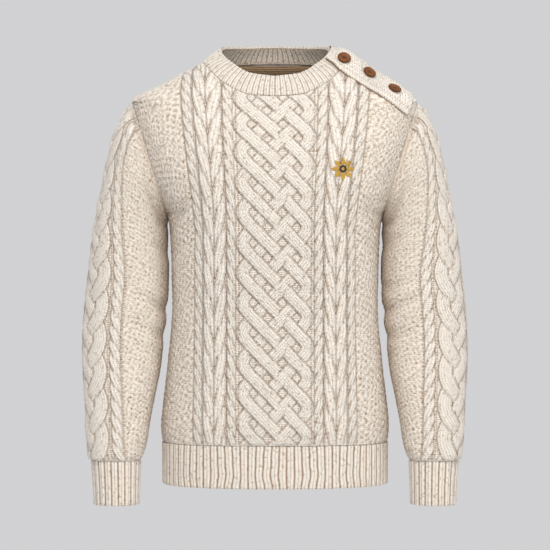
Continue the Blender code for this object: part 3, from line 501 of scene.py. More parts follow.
def panel_knit(x, length):
    """The knitting of a panel: x in mm from its middle, length up from the hem."""
    knit = Knit(x, length)
    knit.lattice()
    for sign in (-1, 1):
        knit.rope(68 * sign, 7.5, REPEAT / 2, -sign, 3.0)
        knit.rope(86.5 * sign, 9.8, REPEAT, sign, 4.8)
        knit.rope(105 * sign, 9.8, REPEAT, -sign, 4.8)
        knit.rope(123.5 * sign, 7.8, REPEAT / 2, -sign, 3.4)
    knit.shade_edges()
    knit.dot_lines((56, 76, 114, MOSS_START))
    knit.moss(MOSS_START, 1.1, 0.50)
    return knit


def sleeve_knit(x, length):
    """The knitting of a sleeve: x in mm from the middle of its plait, length up from the cuff."""
    knit = Knit(x, length)
    knit.plait()
    for sign in (-1, 1):
        knit.rope(44 * sign, 9.0, REPEAT / 2, sign, 4.2)
    knit.shade_edges()
    knit.dot_lines((32, PLAIT_EDGE - 1))
    knit.moss(PLAIT_EDGE, 0.85, 0.48)
    return knit


def crease_rise(points, facing, table):
    """Soft troughs with a low ridge on each side, along short lines in the front view."""
    rise = np.zeros(points.shape[:-1])
    flat = points[..., (0, 2)]
    for x0, z0, x1, z1, reach, depth in table:
        start = np.array([x0, z0])
        along = np.array([x1, z1]) - start
        t = np.clip((flat - start) @ along / (along @ along), 0, 1)
        away = np.linalg.norm(flat - start - t[..., None] * along, axis=-1) / reach
        taper = 1 - 0.75 * t**2
        rise -= depth * taper * (1 - 0.9 * away**2) * np.exp(-(away**2))
    return rise * facing


class Shell:
    """Points, triangles and knitting of one thin shell."""

    def __init__(self, name):
        self.name = name
        self.count = 0
        self.points = []
        self.uvs = []
        self.masks = []
        self.faces = []

    def grid(self, points, across, along, purl, depth, outward=True, ring=False, inside=0.0):
        """Adds a grid of points, rows by columns, and returns its numbers."""
        rows, columns = points.shape[:2]
        numbers = self.count + np.arange(rows * columns).reshape(rows, columns)
        self.count += rows * columns
        self.points.append(points.reshape(-1, 3))
        self.uvs.append(np.stack([across, along], axis=-1).reshape(-1, 2))
        shape = (rows, columns)
        masks = [np.broadcast_to(m, shape) for m in (purl, depth, inside)]
        self.masks.append(np.stack(masks, axis=-1).reshape(-1, 3))
        around = np.concatenate([numbers, numbers[:, :1]], axis=1) if ring else numbers
        a, b = around[:-1, :-1], around[:-1, 1:]
        c, d = around[1:, 1:], around[1:, :-1]
        quads = [a, b, c, d] if outward else [d, c, b, a]
        self.faces.extend(np.stack(quads, axis=-1).reshape(-1, 4).tolist())
        return numbers

    def rim(self, a, b, at_a, at_b):
        """Triangles between two lines of points, matched by their positions along them."""
        i = j = 0
        while i < len(a) - 1 or j < len(b) - 1:
            if j == len(b) - 1:
                step_a = True
            elif i == len(a) - 1:
                step_a = False
            else:
                step_a = at_a[i + 1] + at_a[i] <= at_b[j + 1] + at_b[j]
            if step_a:
                self.faces.append((int(a[i]), int(a[i + 1]), int(b[j])))
                i += 1
            else:
                self.faces.append((int(a[i]), int(b[j + 1]), int(b[j])))
                j += 1

    def rims(self, a, b, across_a, across_b, along_a, along_b):
        """All four edges of a sheet, from its outer grid a to its inner grid b."""
        self.rim(b[0], a[0], across_b, across_a)
        self.rim(a[-1], b[-1], across_a, across_b)
        self.rim(a[:, 0], b[:, 0], along_a, along_b)
        self.rim(b[:, -1], a[:, -1], along_b, along_a)

    def finish(self, material, mirrored=False):
        points = np.concatenate(self.points)
        if mirrored:
            points = points * np.array([-1.0, 1.0, 1.0])
        mesh = bpy.data.meshes.new(self.name)
        mesh.from_pydata(points.tolist(), [], self.faces)
        if mirrored:
            mesh.flip_normals()
        corner = np.empty(len(mesh.loops), np.int32)
        mesh.loops.foreach_get("vertex_index", corner)
        layer = mesh.uv_layers.new(name="stitch")
        layer.data.foreach_set("uv", np.concatenate(self.uvs)[corner].astype(np.float32).ravel())
        masks = np.concatenate(self.masks)
        for k, name in enumerate(("purl", "depth", "inside")):
            made = mesh.attributes.new(name, "FLOAT", "POINT")
            made.data.foreach_set("value", masks[:, k].astype(np.float32))
        mesh.shade_smooth()
        mesh.materials.append(material)
        return link(bpy.data.objects.new(self.name, mesh))


def stations(edges, steps):
    """Even steps between each pair of edges."""
    parts = [np.arange(a, b, step) for a, b, step in zip(edges, edges[1:], steps)]
    return np.append(np.concatenate(parts), edges[-1])


def neck_z(x, side):
    if side < 0:
        return front_neck_z(x)
    share = np.clip(1 - (np.asarray(x) / NECK_HALF_WIDTH) ** 2, 0, 1)
    return NECK_CORNER_Z + BACK_NECK_RISE * share


def slice_table(places, side):
    """Distance from the middle of each place, on slices at close heights."""
    heights = np.linspace(PANEL_BOTTOM_Z, NECK_CORNER_Z + BACK_NECK_RISE, 300)
    turn = np.linspace(0, math.pi / 2, 90)
    start = MOSS_START * MM
    table = np.empty((len(heights), len(places)))
    for k, z in enumerate(heights):
        xs = float(half_width(z)) * np.sin(turn) ** (2 / SLICE_POWER)
        ys = float(depths[side](z)) * np.cos(turn) ** (2 / SLICE_POWER)
        arcs = lengths_along(np.stack([xs, ys], axis=-1))
        edge_arc = np.interp(float(panel_edge_x(z)), xs, arcs)
        arc = places * MM
        share = (arc - start) / (PANEL_EDGE * MM - start)
        arc = np.where(arc > start, start + share * (edge_arc - start), arc)
        table[k] = np.interp(arc, arcs, xs)
    return heights, table


def panel_form(side, places, rows):
    """Points, normals and lengths over half a panel: rows from the hem up, columns outwards."""
    heights, table = slice_table(places, side)
    slopes = np.linspace(SHOULDER_Z, NECK_CORNER_Z, 400)
    slope_widths = half_width(slopes)
    shape = (rows, len(places))
    points, lengths = np.empty((*shape, 3)), np.empty(shape)
    close = 1 - (1 - np.linspace(0, 1, 200)) ** 1.8
    for k, place in enumerate(places):
        x_top = float(column_top_x(place))
        on_neck = place <= NECK_COLUMN
        z_top = float(neck_z(x_top, side) if on_neck else np.interp(-x_top, -slope_widths, slopes))
        z = PANEL_BOTTOM_Z + (z_top - PANEL_BOTTOM_Z) * close
        if place == PANEL_EDGE:
            x = panel_edge_x(z)
        else:
            x = np.interp(z, heights, table[:, k])
            x = x + ease((z - SPREAD_FROM_Z) / (z_top - SPREAD_FROM_Z)) * (x_top - x[-1])
            x = np.minimum(x, half_width(z))
        line = np.stack([x, body_y(x, z, side), z], axis=-1)
        if not on_neck:
            line[-1, 1] = 0
        along = lengths_along(line)
        wanted = np.linspace(0, along[-1], rows)
        lengths[:, k] = wanted
        points[:, k] = points_at(wanted, along, line)
    x, z = points[..., 0], points[..., 2]
    points[..., 1] = body_y(x, z, side)
    seam = points[:, -1]
    seam[:, 1] = np.where(seam[:, 2] <= UNDERARM_Z, 0, seam[:, 1])
    points[-1, places > NECK_COLUMN, 1] = 0
    return points, body_normal(x, points[..., 1], z, side), lengths


def panel_fade(places, points, lengths, side):
    """The knitting flattens into its seams, and lies flat under the placket."""
    total = lengths[-1]
    keep = ease(lengths / FADE) * ease((total - lengths) / FADE)
    keep = keep * ease((PANEL_EDGE - np.abs(places)) * MM / (2 * FADE))
    if side > 0:
        under = ease((total - lengths - UNDER_PLACKET_BACK) / FADE)
    else:
        front = np.array(PLACKET)
        edge_z = np.interp(points[..., 0], front[:, 0], front[:, 1])
        under = ease((edge_z + UNDER_PLACKET_MARGIN - points[..., 2]) / UNDER_PLACKET_MARGIN)
    return keep * np.where(places > 80, under, 1.0)


def both_sides(half):
    """A whole panel from its +X half: the other half is its mirror image."""
    other = half[:, :0:-1].copy()
    if half.ndim == 3:
        other[..., 0] *= -1
    return np.concatenate([other, half], axis=1)


def panel_wall(side, places, rows):
    points, normals, lengths = panel_form(side, places, rows)
    whole = np.concatenate([-places[:0:-1], places])
    return whole, both_sides(points), both_sides(normals), both_sides(lengths)


def panel_crease(points, normals, lengths, side):
    facing = ease(normals[..., 1] * side * 1.6)
    return crease_rise(points, facing, BODY_CREASES) * ease(lengths / (2 * FADE))


def make_panel(name, side, material):
    shell = Shell(name)
    places = stations((0, MOSS_START, PANEL_EDGE), (1.2, 2.05))
    whole, points, normals, lengths = panel_wall(side, places, PANEL_ROWS)
    across = np.broadcast_to(whole, lengths.shape)
    knit = panel_knit(across, lengths)
    keep = panel_fade(across, points, lengths, side)
    rise = knit.rise * keep + panel_crease(points, normals, lengths, side)
    outer = points + normals * rise[..., None]
    settle_edges(outer, side, whole)
    inner_whole, base, out, inner_lengths = panel_wall(side, np.array(INNER_PLACES), INNER_PANEL_ROWS)
    inner = base + out * (panel_crease(base, out, inner_lengths, side) - WALL)[..., None]
    settle_edges(inner, side, inner_whole)
    depth = 1 - (1 - knit.depth) * ease(keep * 4)
    a = shell.grid(outer, knit.across, knit.along, knit.purl, depth, outward=side < 0)
    wide = np.broadcast_to(inner_whole * MM, inner_lengths.shape)
    b = shell.grid(inner, wide, inner_lengths, 1.0, 0.5, outward=side > 0, inside=1.0)
    shell.rim(a[0], b[0], whole, inner_whole)
    shell.rim(b[-1], a[-1], inner_whole, whole)
    for k in (0, -1):
        shell.rim(a[:, k], b[:, k], lengths[:, k], inner_lengths[:, k])
    return shell.finish(material)


def settle_edges(sheet, side, whole):
    """Keeps a panel's edges half a gap off the seam they meet."""
    for k in (0, -1):
        low = sheet[:, k, 2] < UNDERARM_Z
        sheet[low, k, 1] = side * HALF_GAP
    top = np.abs(whole) > NECK_COLUMN - 0.5
    sheet[-1, top, 1] = side * HALF_GAP


def ring_points(row, angles):
    """Slice of a sleeve: 0 degrees at its outer side, 90 at the front."""
    outer = np.array([row[0], row[5], row[1]])
    inner = np.array([row[2], row[5], row[3]])
    middle = (outer + inner) / 2
    reach = (outer - inner) / 2
    c, s = np.cos(angles), np.sin(angles)
    c = np.sign(c) * np.abs(c) ** (2 / SLEEVE_POWER)
    s = np.sign(s) * np.abs(s) ** (2 / SLEEVE_POWER)
    return middle + c[:, None] * reach - (s * row[4])[:, None] * np.array([0.0, 1.0, 0.0])


def armhole_loop(angles):
    """Outer edge of the armhole, matched to the sleeve's angles."""
    c = np.cos(angles)
    span = (SHOULDER_Z - UNDERARM_Z) / 2
    z = (SHOULDER_Z + UNDERARM_Z) / 2 + span * c
    x = armhole_x(z)
    front = np.abs(body_y(x, z, -1))
    back = np.abs(body_y(x, z, 1))
    at_end = np.abs(np.sin(angles)) < 1e-6
    y = np.where(np.sin(angles) > 0, -front, back)
    return np.stack([x, np.where(at_end, 0, y), z], axis=-1)


RING_ANGLES = np.linspace(0, 2 * math.pi, 145)


def tube_of(rings):
    """Close points over a whole sleeve or cuff, top to bottom."""
    stack = np.stack(rings)
    centres = stack[:, :-1].mean(axis=1)
    places = lengths_along(centres)
    fine = np.linspace(0, places[-1], 120)
    return smooth_curve(places, stack.reshape(len(stack), -1))(fine).reshape(120, len(RING_ANGLES), 3)


def tube_normals(tube):
    along = np.gradient(tube, axis=0)
    around = np.gradient(tube, axis=1)
    around[:, 0] = tube[:, 1] - tube[:, -2]
    around[:, -1] = around[:, 0]
    normal = np.cross(around, along)
    outward = tube - tube[:, :-1].mean(axis=1)[:, None]
    return np.sign((normal * outward).sum()) * unit(normal)


def sleeve_form(tube, normals, turn, count, plait_step, rows):
    """Points, normals, offsets from the plait's middle in mm, and lengths up from the cuff."""
    offsets = np.arange(-PLAIT_EDGE, PLAIT_EDGE + 0.01, plait_step)
    shares = np.linspace(0, 1, count + 2)[1:-1]
    columns = len(offsets) + count
    line = np.empty((len(tube), columns, 3))
    out = np.empty_like(line)
    away = np.empty((len(tube), columns))
    for k, ring in enumerate(tube):
        arcs = lengths_along(ring)
        total = arcs[-1]
        middle = np.interp(turn[k], RING_ANGLES, arcs)
        rest = PLAIT_EDGE * MM + shares * (total - 2 * PLAIT_EDGE * MM)
        away[k] = np.concatenate([offsets * MM, rest])
        angle = np.interp((middle + away[k]) % total, arcs, RING_ANGLES)
        line[k] = points_at(angle, RING_ANGLES, ring)
        out[k] = points_at(angle, RING_ANGLES, normals[k])
    line, out, away = line[::-1], out[::-1], away[::-1]
    shape = (rows, columns)
    points, directions = np.empty((*shape, 3)), np.empty((*shape, 3))
    lengths, offset = np.empty(shape), np.empty(shape)
    for j in range(columns):
        along = lengths_along(line[:, j])
        wanted = np.linspace(0, along[-1], rows)
        lengths[:, j] = wanted
        offset[:, j] = np.interp(wanted, along, away[:, j]) / MM
        points[:, j] = points_at(wanted, along, line[:, j])
        directions[:, j] = points_at(wanted, along, out[:, j])
    return points, unit(directions), offset, lengths


def sleeve_crease(points, out, lengths, hand):
    """Creases on the front and the back of a sleeve, gone at its two ends."""
    facing = ease(0.35 - out[..., 1] * 1.2) + ease(0.35 + out[..., 1] * 1.2)
    ends = ease(lengths / (2 * FADE)) * ease((lengths[-1] - lengths) / (8 * FADE))
    return crease_rise(points, facing, SLEEVE_CREASES[hand]) * ends


def make_sleeve(name, hand, material):
    rings = [armhole_loop(RING_ANGLES)] + [ring_points(row, RING_ANGLES) for row in SLEEVE]
    tube = tube_of(rings)
    normals = tube_normals(tube)
    start, settled = PLAIT_TURN[hand]
    share = np.linspace(0, 1, len(tube))
    turn = np.radians(start + (settled - start) * ease(share / 0.45))
    shell = Shell(name)
    points, out, offset, lengths = sleeve_form(tube, normals, turn, *SLEEVE_GRID)
    knit = sleeve_knit(offset, lengths)
    keep = ease(lengths / FADE) * ease((lengths[-1] - lengths - 2 * MM) / (2 * FADE))
    rise = knit.rise * keep + sleeve_crease(points, out, lengths, hand)
    depth = 1 - (1 - knit.depth) * ease(keep * 4)
    outer = points + out * rise[..., None]
    a = shell.grid(outer, knit.across, knit.along, knit.purl, depth, ring=True)
    base, away, inner_offset, inner_lengths = sleeve_form(tube, normals, turn, *INNER_SLEEVE_GRID)
    inner = base + away * (sleeve_crease(base, away, inner_lengths, hand) - WALL)[..., None]
    inner[0, :, 2] = base[0, :, 2]
    wide = inner_offset * MM
    b = shell.grid(inner, wide, inner_lengths, 1.0, 0.5, outward=False, ring=True, inside=1.0)
    past_end = 1000.0
    at_a, at_b = np.append(offset[0], past_end), np.append(inner_offset[0], past_end)
    shell.rim(closed(a[0]), closed(b[0]), at_a, at_b)
    at_a, at_b = np.append(offset[-1], past_end), np.append(inner_offset[-1], past_end)
    shell.rim(closed(b[-1]), closed(a[-1]), at_b, at_a)
    return shell.finish(material, mirrored=hand == "right")


def rib_profile(phase):
    """Height of ribbing: grooves at whole numbers, and two wales with a shallow line between them."""
    crown = np.abs(np.sin(math.pi * phase)) ** 0.6
    return crown - 0.22 * np.exp(-(((phase % 1.0 - 0.5) / 0.09) ** 2))


def rib_depth(phase):
    """Painted shade of ribbing: dark in the groove, a little darker between the two wales."""
    crown = np.abs(np.sin(math.pi * phase))
    return ease(0.05 + 1.7 * crown) - 0.22 * np.exp(-(((phase % 1.0 - 0.5) / 0.07) ** 2))


def rib_wave(z):
    """How far ribs wander sideways, in ribs, at one height."""
    return 0.10 * np.sin(z / (9 * MM)) + 0.06 * np.sin(z / (5.3 * MM) + 1.0)


def hem_ring(shares, z, side):
    """Points round half the hem at one height, and their outward directions."""
    turn = np.linspace(-math.pi / 2, math.pi / 2, 361)
    xs = np.sign(turn) * float(half_width(z)) * np.abs(np.sin(turn)) ** (2 / SLICE_POWER)
    ys = side * float(depths[side](z)) * np.cos(turn).clip(0) ** (2 / SLICE_POWER)
    arcs = lengths_along(np.stack([xs, ys], axis=-1))
    at = shares * arcs[-1]
    x, y = np.interp(at, arcs, xs), np.interp(at, arcs, ys)
    y = np.where(np.abs(y) > 1e-7, y, 0.0)
    normal = body_normal(x, y, np.full_like(x, z), side)
    normal[:, 2] = 0
    return np.stack([x, y, np.full_like(x, z)], axis=-1), unit(normal), arcs[-1]


def edge_rows(count, bend):
    """Rows down to a rounded edge: share down, inward step and extra drop of each."""
    straight = [(share, 0.0, 0.0) for share in np.linspace(0, 1, count)]
    turned = [math.radians(a) for a in bend]
    return straight + [(1.0, WALL / 2 * (1 - math.cos(a)), WALL / 2 * math.sin(a)) for a in turned]


def rib_wall(inside):
    """Points to a rib, and rows down, of a band's outside or inside."""
    if inside:
        return INNER_RIB_POINTS, edge_rows(INNER_RIB_ROWS, ())
    return RIB_POINTS, edge_rows(RIB_ROWS, ROUNDED)


def rib_lift(inside, down, inward, ridge):
    """How far ribs stand out of a band: outside, less at its seam and round its edge."""
    if inside:
        return INNER_RIB_RISE * ridge - WALL
    keep = ease(down / 0.05 + 0.3) * (1 - 0.25 * (inward > 0))
    return RIB_RISE * keep * ridge - inward


def make_hem(name, side, material):
    shell = Shell(name)
    bottom = HEM_BOTTOM_Z + WALL / 2
    walls = []
    for inside in (False, True):
        per_rib, rows = rib_wall(inside)
        shares = np.linspace(0, 1, HEM_RIBS * per_rib + 1)
        sway = np.sin(shares * 23.0) * np.sin(math.pi * shares)
        grid, spans, downs, rib_groove_shades = [], [], [], []
        for down, inward, drop in rows:
            z = HEM_TOP_Z + (bottom - HEM_TOP_Z) * down
            ring, out, total = hem_ring(shares, z, side)
            phase = shares * HEM_RIBS + rib_wave(z) * sway
            ridge = rib_profile(shares * HEM_RIBS + 0.5 if inside else phase)
            line = ring + out * rib_lift(inside, down, inward, ridge)[:, None]
            line[:, 2] -= drop
            line[(0, -1), 1] = side * HALF_GAP
            grid.append(line)
            spans.append(shares * total if inside else phase * 2 * WALE)
            downs.append(np.full(len(shares), -z + drop))
            rib_groove_shades.append(np.full(len(shares), 0.5) if inside else rib_depth(phase))
        sheet = [np.array(part) for part in (grid, spans, downs)]
        outward = (side < 0) == inside
        numbers = shell.grid(*sheet, 0.0, np.array(rib_groove_shades), outward=outward, inside=float(inside))
        walls.append((numbers, shares, np.linspace(0, 1, len(rows))))
    (a, across_a, along_a), (b, across_b, along_b) = walls
    shell.rims(a, b, across_a, across_b, along_a, along_b)
    return shell.finish(material)


def make_cuff(name, hand, material):
    tube = tube_of([ring_points(row, RING_ANGLES) for row in CUFF])
    normals = tube_normals(tube)
    normals[..., 2] = 0
    normals = unit(normals)
    shell = Shell(name)
    walls = []
    for inside in (False, True):
        per_rib, rows = rib_wall(inside)
        count = CUFF_RIBS * per_rib
        shares = np.arange(count) / count
        phase = shares * CUFF_RIBS
        ridge = rib_profile(phase + 0.5 * inside)
        grid, downs = [], []
        for down, inward, drop in rows:
            k = int(round(down * (len(tube) - 1) * (1 - WALL / 2 / CUFF_HEIGHT)))
            arcs = lengths_along(tube[k])
            at = shares * arcs[-1]
            out = unit(points_at(at, arcs, normals[k]))
            lift = rib_lift(inside, down, inward, ridge)
            line = points_at(at, arcs, tube[k]) + out * lift[:, None]
            line[:, 2] -= drop + HALF_GAP
            grid.append(line)
            downs.append(np.full(count, down * CUFF_HEIGHT + drop))
        spans = np.broadcast_to(phase * 2 * WALE, (len(rows), count))
        sheet = (np.array(grid), spans, np.array(downs))
        depth = 0.5 if inside else rib_depth(phase)
        numbers = shell.grid(*sheet, 0.0, depth, outward=inside, ring=True, inside=float(inside))
        walls.append((numbers, np.append(shares, 1.0)))
    (a, at_a), (b, at_b) = walls
    shell.rim(closed(b[0]), closed(a[0]), at_b, at_a)
    shell.rim(closed(a[-1]), closed(b[-1]), at_a, at_b)
    return shell.finish(material, mirrored=hand == "right")


def neck_loop():
    """The whole neckline as close points, front middle, +X side, back, -X side."""
    xs = NECK_HALF_WIDTH * np.sin(np.linspace(0, math.pi / 2, 120))
    quarters = []
    for side in (-1, 1):
        z = neck_z(xs, side)
        y = body_y(xs, z, side)
        y[-1] = 0
        quarters.append(np.stack([xs, y, z], axis=-1))
    front, back = quarters
    flip = np.array([-1.0, 1.0, 1.0])
    return np.concatenate([front, back[-2::-1], back[1:] * flip, front[-2::-1] * flip])


def collar_edge():
    """Top edge of the collar as close points, by its angle from the front to +X."""
    angles = np.arange(361.0)
    turn = np.radians(angles)
    depth = np.where(np.cos(turn) > 0, COLLAR_SIDE - COLLAR_FRONT, COLLAR_BACK - COLLAR_SIDE)
    around = np.abs(((angles + 180) % 360) - 180)
    x = COLLAR_HALF_WIDTH * np.sin(turn)
    y = COLLAR_SIDE - depth * np.cos(turn)
    return np.stack([x, y, collar_top_z(around)], axis=-1)


LOOP = neck_loop()
LOOP_SHARE = lengths_along(LOOP) / lengths_along(LOOP)[-1]
EDGE = collar_edge()
EDGE_SHARE = lengths_along(EDGE) / lengths_along(EDGE)[-1]


def collar_point(share, up):
    """Points of the collar's form: share round it from the front middle, share up it."""
    share = np.asarray(share, float) % 1.0
    up = np.asarray(up, float)[..., None] * np.ones_like(share)[..., None]
    low = points_at(share, LOOP_SHARE, LOOP)
    high = points_at(share, EDGE_SHARE, EDGE)
    out = unit(low * np.array([1.0, 0.7, 0.0]))
    return low + (high - low) * up + out * COLLAR_BULGE * 4 * up * (1 - up)


def collar_normal(share, up):
    aside, step = 0.004, 0.05
    around = collar_point(share + aside, up) - collar_point(share - aside, up)
    higher, lower = np.minimum(up + step, 1.0), np.maximum(up - step, 0.0)
    return unit(np.cross(around, collar_point(share, higher) - collar_point(share, lower)))


def make_collar(material):
    """Collar: ribbed both sides, rolled over at the top, linked on with a row of loops inside."""
    count = COLLAR_RIBS * COLLAR_POINTS
    shares = np.arange(count) / count
    phase = shares * COLLAR_RIBS
    ridge, inner_ridge = rib_profile(phase), rib_profile(phase + 0.5)
    collar_rib_shade = 0.4 + 0.6 * rib_depth(phase)
    half = COLLAR_WALL / 2
    heights = np.linspace(0.012, 1, COLLAR_ROWS)
    rows = []
    for up in heights:
        keep = float(ease(up / 0.08 + 0.2))
        rows.append((up, COLLAR_RISE * keep * ridge, 0.0, 0.0, collar_rib_shade))
    for angle in (25, 50, 75, 90, 105, 130, 155):
        a = math.radians(angle)
        fade = 0.75 * COLLAR_RISE * ridge * max(math.cos(a), 0)
        rows.append((1.0, fade - half * (1 - math.cos(a)), half * math.sin(a), 0.0, collar_rib_shade))
    links = 0.7 + 0.3 * np.cos(2 * math.pi * shares * LINK_LOOPS)
    for up in heights[::-1]:
        loops = np.exp(-(((up - 0.10) / 0.05) ** 2)) * links
        keep = float(ease((up - 0.12) / 0.1) * ease((1.02 - up) / 0.1))
        lift = -COLLAR_WALL - 1.1 * MM * keep * inner_ridge - 1.6 * MM * loops
        # Painted shade inside the collar: darker in the grooves between the inner ribs, lighter on the
        # loops
        linked = np.clip(0.1 + 0.9 * inner_ridge * keep + 0.9 * loops, 0, 1)
        rows.append((up, lift, 0.0, COLLAR_INSIDE_SHADE, linked))
    grid = []
    for up, lift, over, _, _ in rows:
        line = collar_point(shares, up) + collar_normal(shares, up) * lift[:, None]
        line[:, 2] += over
        grid.append(line)
    shape = (len(rows), count)
    around = np.broadcast_to(phase * 2 * WALE, shape)
    along = np.broadcast_to(np.arange(len(rows))[:, None] * COLLAR_ROW, shape)
    inside = np.array([row[3] for row in rows])[:, None]
    depth = np.array([row[4] for row in rows])
    shell = Shell("collar_knit")
    numbers = shell.grid(np.array(grid), around, along, 0.0, depth, ring=True, inside=inside)
    at = np.append(shares, 1.0)
    shell.rim(closed(numbers[-1]), closed(numbers[0]), at, at)
    return shell.finish(material)


def body_height(x, y):
    """Height of the shoulder's form over a point, by halving."""
    side = -1 if y < 0 else 1
    low, high = SHOULDER_Z - 0.03, NECK_CORNER_Z
    for _ in range(40):
        middle = (low + high) / 2
        if abs(float(body_y(x, middle, side))) > abs(y):
            low = middle
        else:
            high = middle
    return (low + high) / 2


def on_body(x, z, side, lift):
    x, z = np.array(x), np.array(z)
    y = body_y(x, z, side)
    return np.array([x, y, z]) + lift * body_normal(x, y, z, side)


def placket_ground():
    """Close points of the shoulder and the collar, their normals, and the height to keep above each."""
    lift = PLACKET_WALL + PLACKET_CLEAR
    points, normals, keep = [], [], []
    for share in np.linspace(0.14, 0.36, 56):
        for up in np.linspace(0, 1, 14):
            points.append(collar_point(share, up))
            normals.append(collar_normal(share, up))
            keep.append(lift + RIB_RISE + 2 * HALF_GAP)
    for z in np.linspace(-0.085, 0.003, 45):
        wide = float(half_width(z))
        for x in np.linspace(0.10, wide, 50) if wide > 0.10 else ():
            for side in (-1, 1):
                points.append(on_body(x, z, side, 0.0))
                normals.append(on_body(x, z, side, 1.0) - points[-1])
                keep.append(lift)
    return np.array(points), np.array(normals), np.array(keep)


def placket_frame():
    """Outer points of the placket: for each station its front edge, ridge, crest and back edge."""
    lift = PLACKET_WALL + PLACKET_CLEAR
    crest = np.array(PLACKET_CREST)
    front, ridge, back = PLACKET_ON_COLLAR
    over_ribs = lift + RIB_RISE
    ends = [collar_point(*at) + over_ribs * collar_normal(*at) for at in (front, back)]
    made = [(ends[0], np.array(ridge), np.array(ridge) + crest, ends[1])]
    for front_x, front_z, x, y, z, back_x, back_y in PLACKET:
        edge = on_body(front_x, front_z, -1, lift)
        low = on_body(back_x, body_height(back_x, back_y), 1, lift)
        top = np.array([x, y, z])
        made.append((edge, top, top + crest, low))
    return np.array(made)


def placket_surface():
    """The placket's outer form, as a function of the share along it and the share across it."""
    frame_points = placket_frame()
    count = len(frame_points)
    along = smooth_curve(np.linspace(0, 1, count), frame_points.reshape(count, -1))
    ground, normals, keep = placket_ground()

    def surface(u, v):
        four = along(np.array(u)).reshape(4, 3)
        point = smooth_curve([0.0, 0.4, 0.65, 1.0], four)(np.array(v))
        nearest = np.argmin(((ground - point) ** 2).sum(axis=1))
        height = float((point - ground[nearest]) @ normals[nearest])
        return point + max(keep[nearest] - height, 0.0) * normals[nearest]

    return surface


def surface_normal(surface, u, v):
    d = 0.01
    along = surface(min(u + d, 1), v) - surface(max(u - d, 0), v)
    across = surface(u, min(v + d, 1)) - surface(u, max(v - d, 0))
    return unit(np.cross(along, across))


def smoothed(grid, times):
    """A grid of points with its small steps evened out, its corners kept."""
    grid = grid.copy()
    for _ in range(times):
        for edge in (grid[0], grid[-1], grid[:, 0], grid[:, -1]):
            edge[1:-1] = 0.5 * edge[1:-1] + 0.25 * (edge[:-2] + edge[2:])
        middle = grid[1:-1, 1:-1]
        around = grid[:-2, 1:-1] + grid[2:, 1:-1] + grid[1:-1, :-2] + grid[1:-1, 2:]
        grid[1:-1, 1:-1] = 0.5 * middle + 0.125 * around
    return grid


def make_placket(surface, material):
    us, vs = np.linspace(0, 1, 110), np.linspace(0, 1, 56)
    top = smoothed(np.array([[surface(u, v) for v in vs] for u in us]), 14)
    normals = unit(np.cross(np.gradient(top, axis=0), np.gradient(top, axis=1)))
    from_end = np.minimum(us, 1 - us) * PLACKET_LENGTH
    from_side = np.minimum(vs, 1 - vs) * PLACKET_WIDTH
    from_edge = np.minimum.outer(from_end, from_side)
    turned = (1 - from_edge / EDGE_REACH).clip(0)
    rounding = EDGE_DROP * (1 - np.sqrt(np.clip(1 - turned**2, 0, 1)))
    channel = CHANNEL_DEPTH * np.exp(-(((from_edge - CHANNEL_PLACE) / CHANNEL_WIDTH) ** 2))
    thick = PLACKET_WALL + PLACKET_LIP * np.exp(-((from_edge / (4 * MM)) ** 2))
    outer = top - normals * (rounding + channel)[..., None]
    inner = (top - thick[..., None] * normals)[::3, ::3]
    wide = np.broadcast_to(vs * PLACKET_WIDTH, outer.shape[:2])
    long = np.broadcast_to(us[:, None] * PLACKET_LENGTH, outer.shape[:2])
    shell = Shell("placket_knit")
    # Painted shade: darker in the shallow channel beside the rounded edge
    a = shell.grid(outer, long, wide, 0.0, 0.75 + 0.25 * (channel < 0.2 * MM))
    b = shell.grid(inner, long[::3, ::3], wide[::3, ::3], 1.0, 0.5, outward=False, inside=1.0)
    shell.rims(a, b, vs, vs[::3], us, us[::3])
    return shell.finish(material)


def placket_facets(surface):
    """Close places on the solid placket's flat facets: share along and share across, and the point."""
    steps = np.linspace(0, 1, PLACKET_STATIONS)
    along, across = np.linspace(0, 1, 61), np.linspace(0, 0.8, 41)
    corners = np.array([[surface(u, v) for v in PLACKET_ACROSS] for u in steps])
    wide = np.stack([points_at(across, PLACKET_ACROSS, line) for line in corners], axis=1)
    long = np.concatenate([points_at(along, steps, line) for line in wide])
    return [(u, v) for v in across for u in along], long


class Nodes:
    """Short calls for building one material's nodes."""

    def __init__(self, name):
        self.material = bpy.data.materials.new(name)
        self.material.use_nodes = True
        self.tree = self.material.node_tree
        self.place = self.add("ShaderNodeTexCoord").outputs["Object"]

    def add(self, kind, inputs=None, **settings):
        node = self.tree.nodes.new(kind)
        for key, value in settings.items():
            setattr(node, key, value)
        self.join(node, inputs or {})
        return node

    def join(self, node, inputs):
        for key, value in inputs.items():
            if isinstance(value, bpy.types.NodeSocket):
                self.tree.links.new(value, node.inputs[key])
            else:
                node.inputs[key].default_value = value

    def math(self, operation, a, b=0.0):
        return self.add("ShaderNodeMath", {0: a, 1: b}, operation=operation).outputs[0]

    def mix(self, factor, a, b):
        return self.add("ShaderNodeMix", {0: factor, 6: a, 7: b}, data_type="RGBA").outputs[2]

    def attribute(self, name):
        return self.add("ShaderNodeAttribute", attribute_name=name).outputs["Fac"]

    def remap(self, value, low, high):
        return self.add("ShaderNodeMapRange", {0: value, 1: low, 2: high}).outputs[0]

    def noise(self, place, scale, detail):
        return self.add("ShaderNodeTexNoise", {"Vector": place, "Scale": scale, "Detail": detail})

    def finish(self, colour, bump, roughness, others):
        """Joins the colour, the bump (strength, distance and height) and the rest to the shader."""
        named = dict(zip(("Strength", "Distance", "Height"), bump))
        raised = self.add("ShaderNodeBump", named)
        inputs = {"Base Color": colour, "Normal": raised.outputs[0], "Roughness": roughness}
        self.join(self.tree.nodes["Principled BSDF"], {**inputs, **others})
        return self.material


def darker(colour, share):
    return (*(share * part for part in colour[:3]), 1.0)


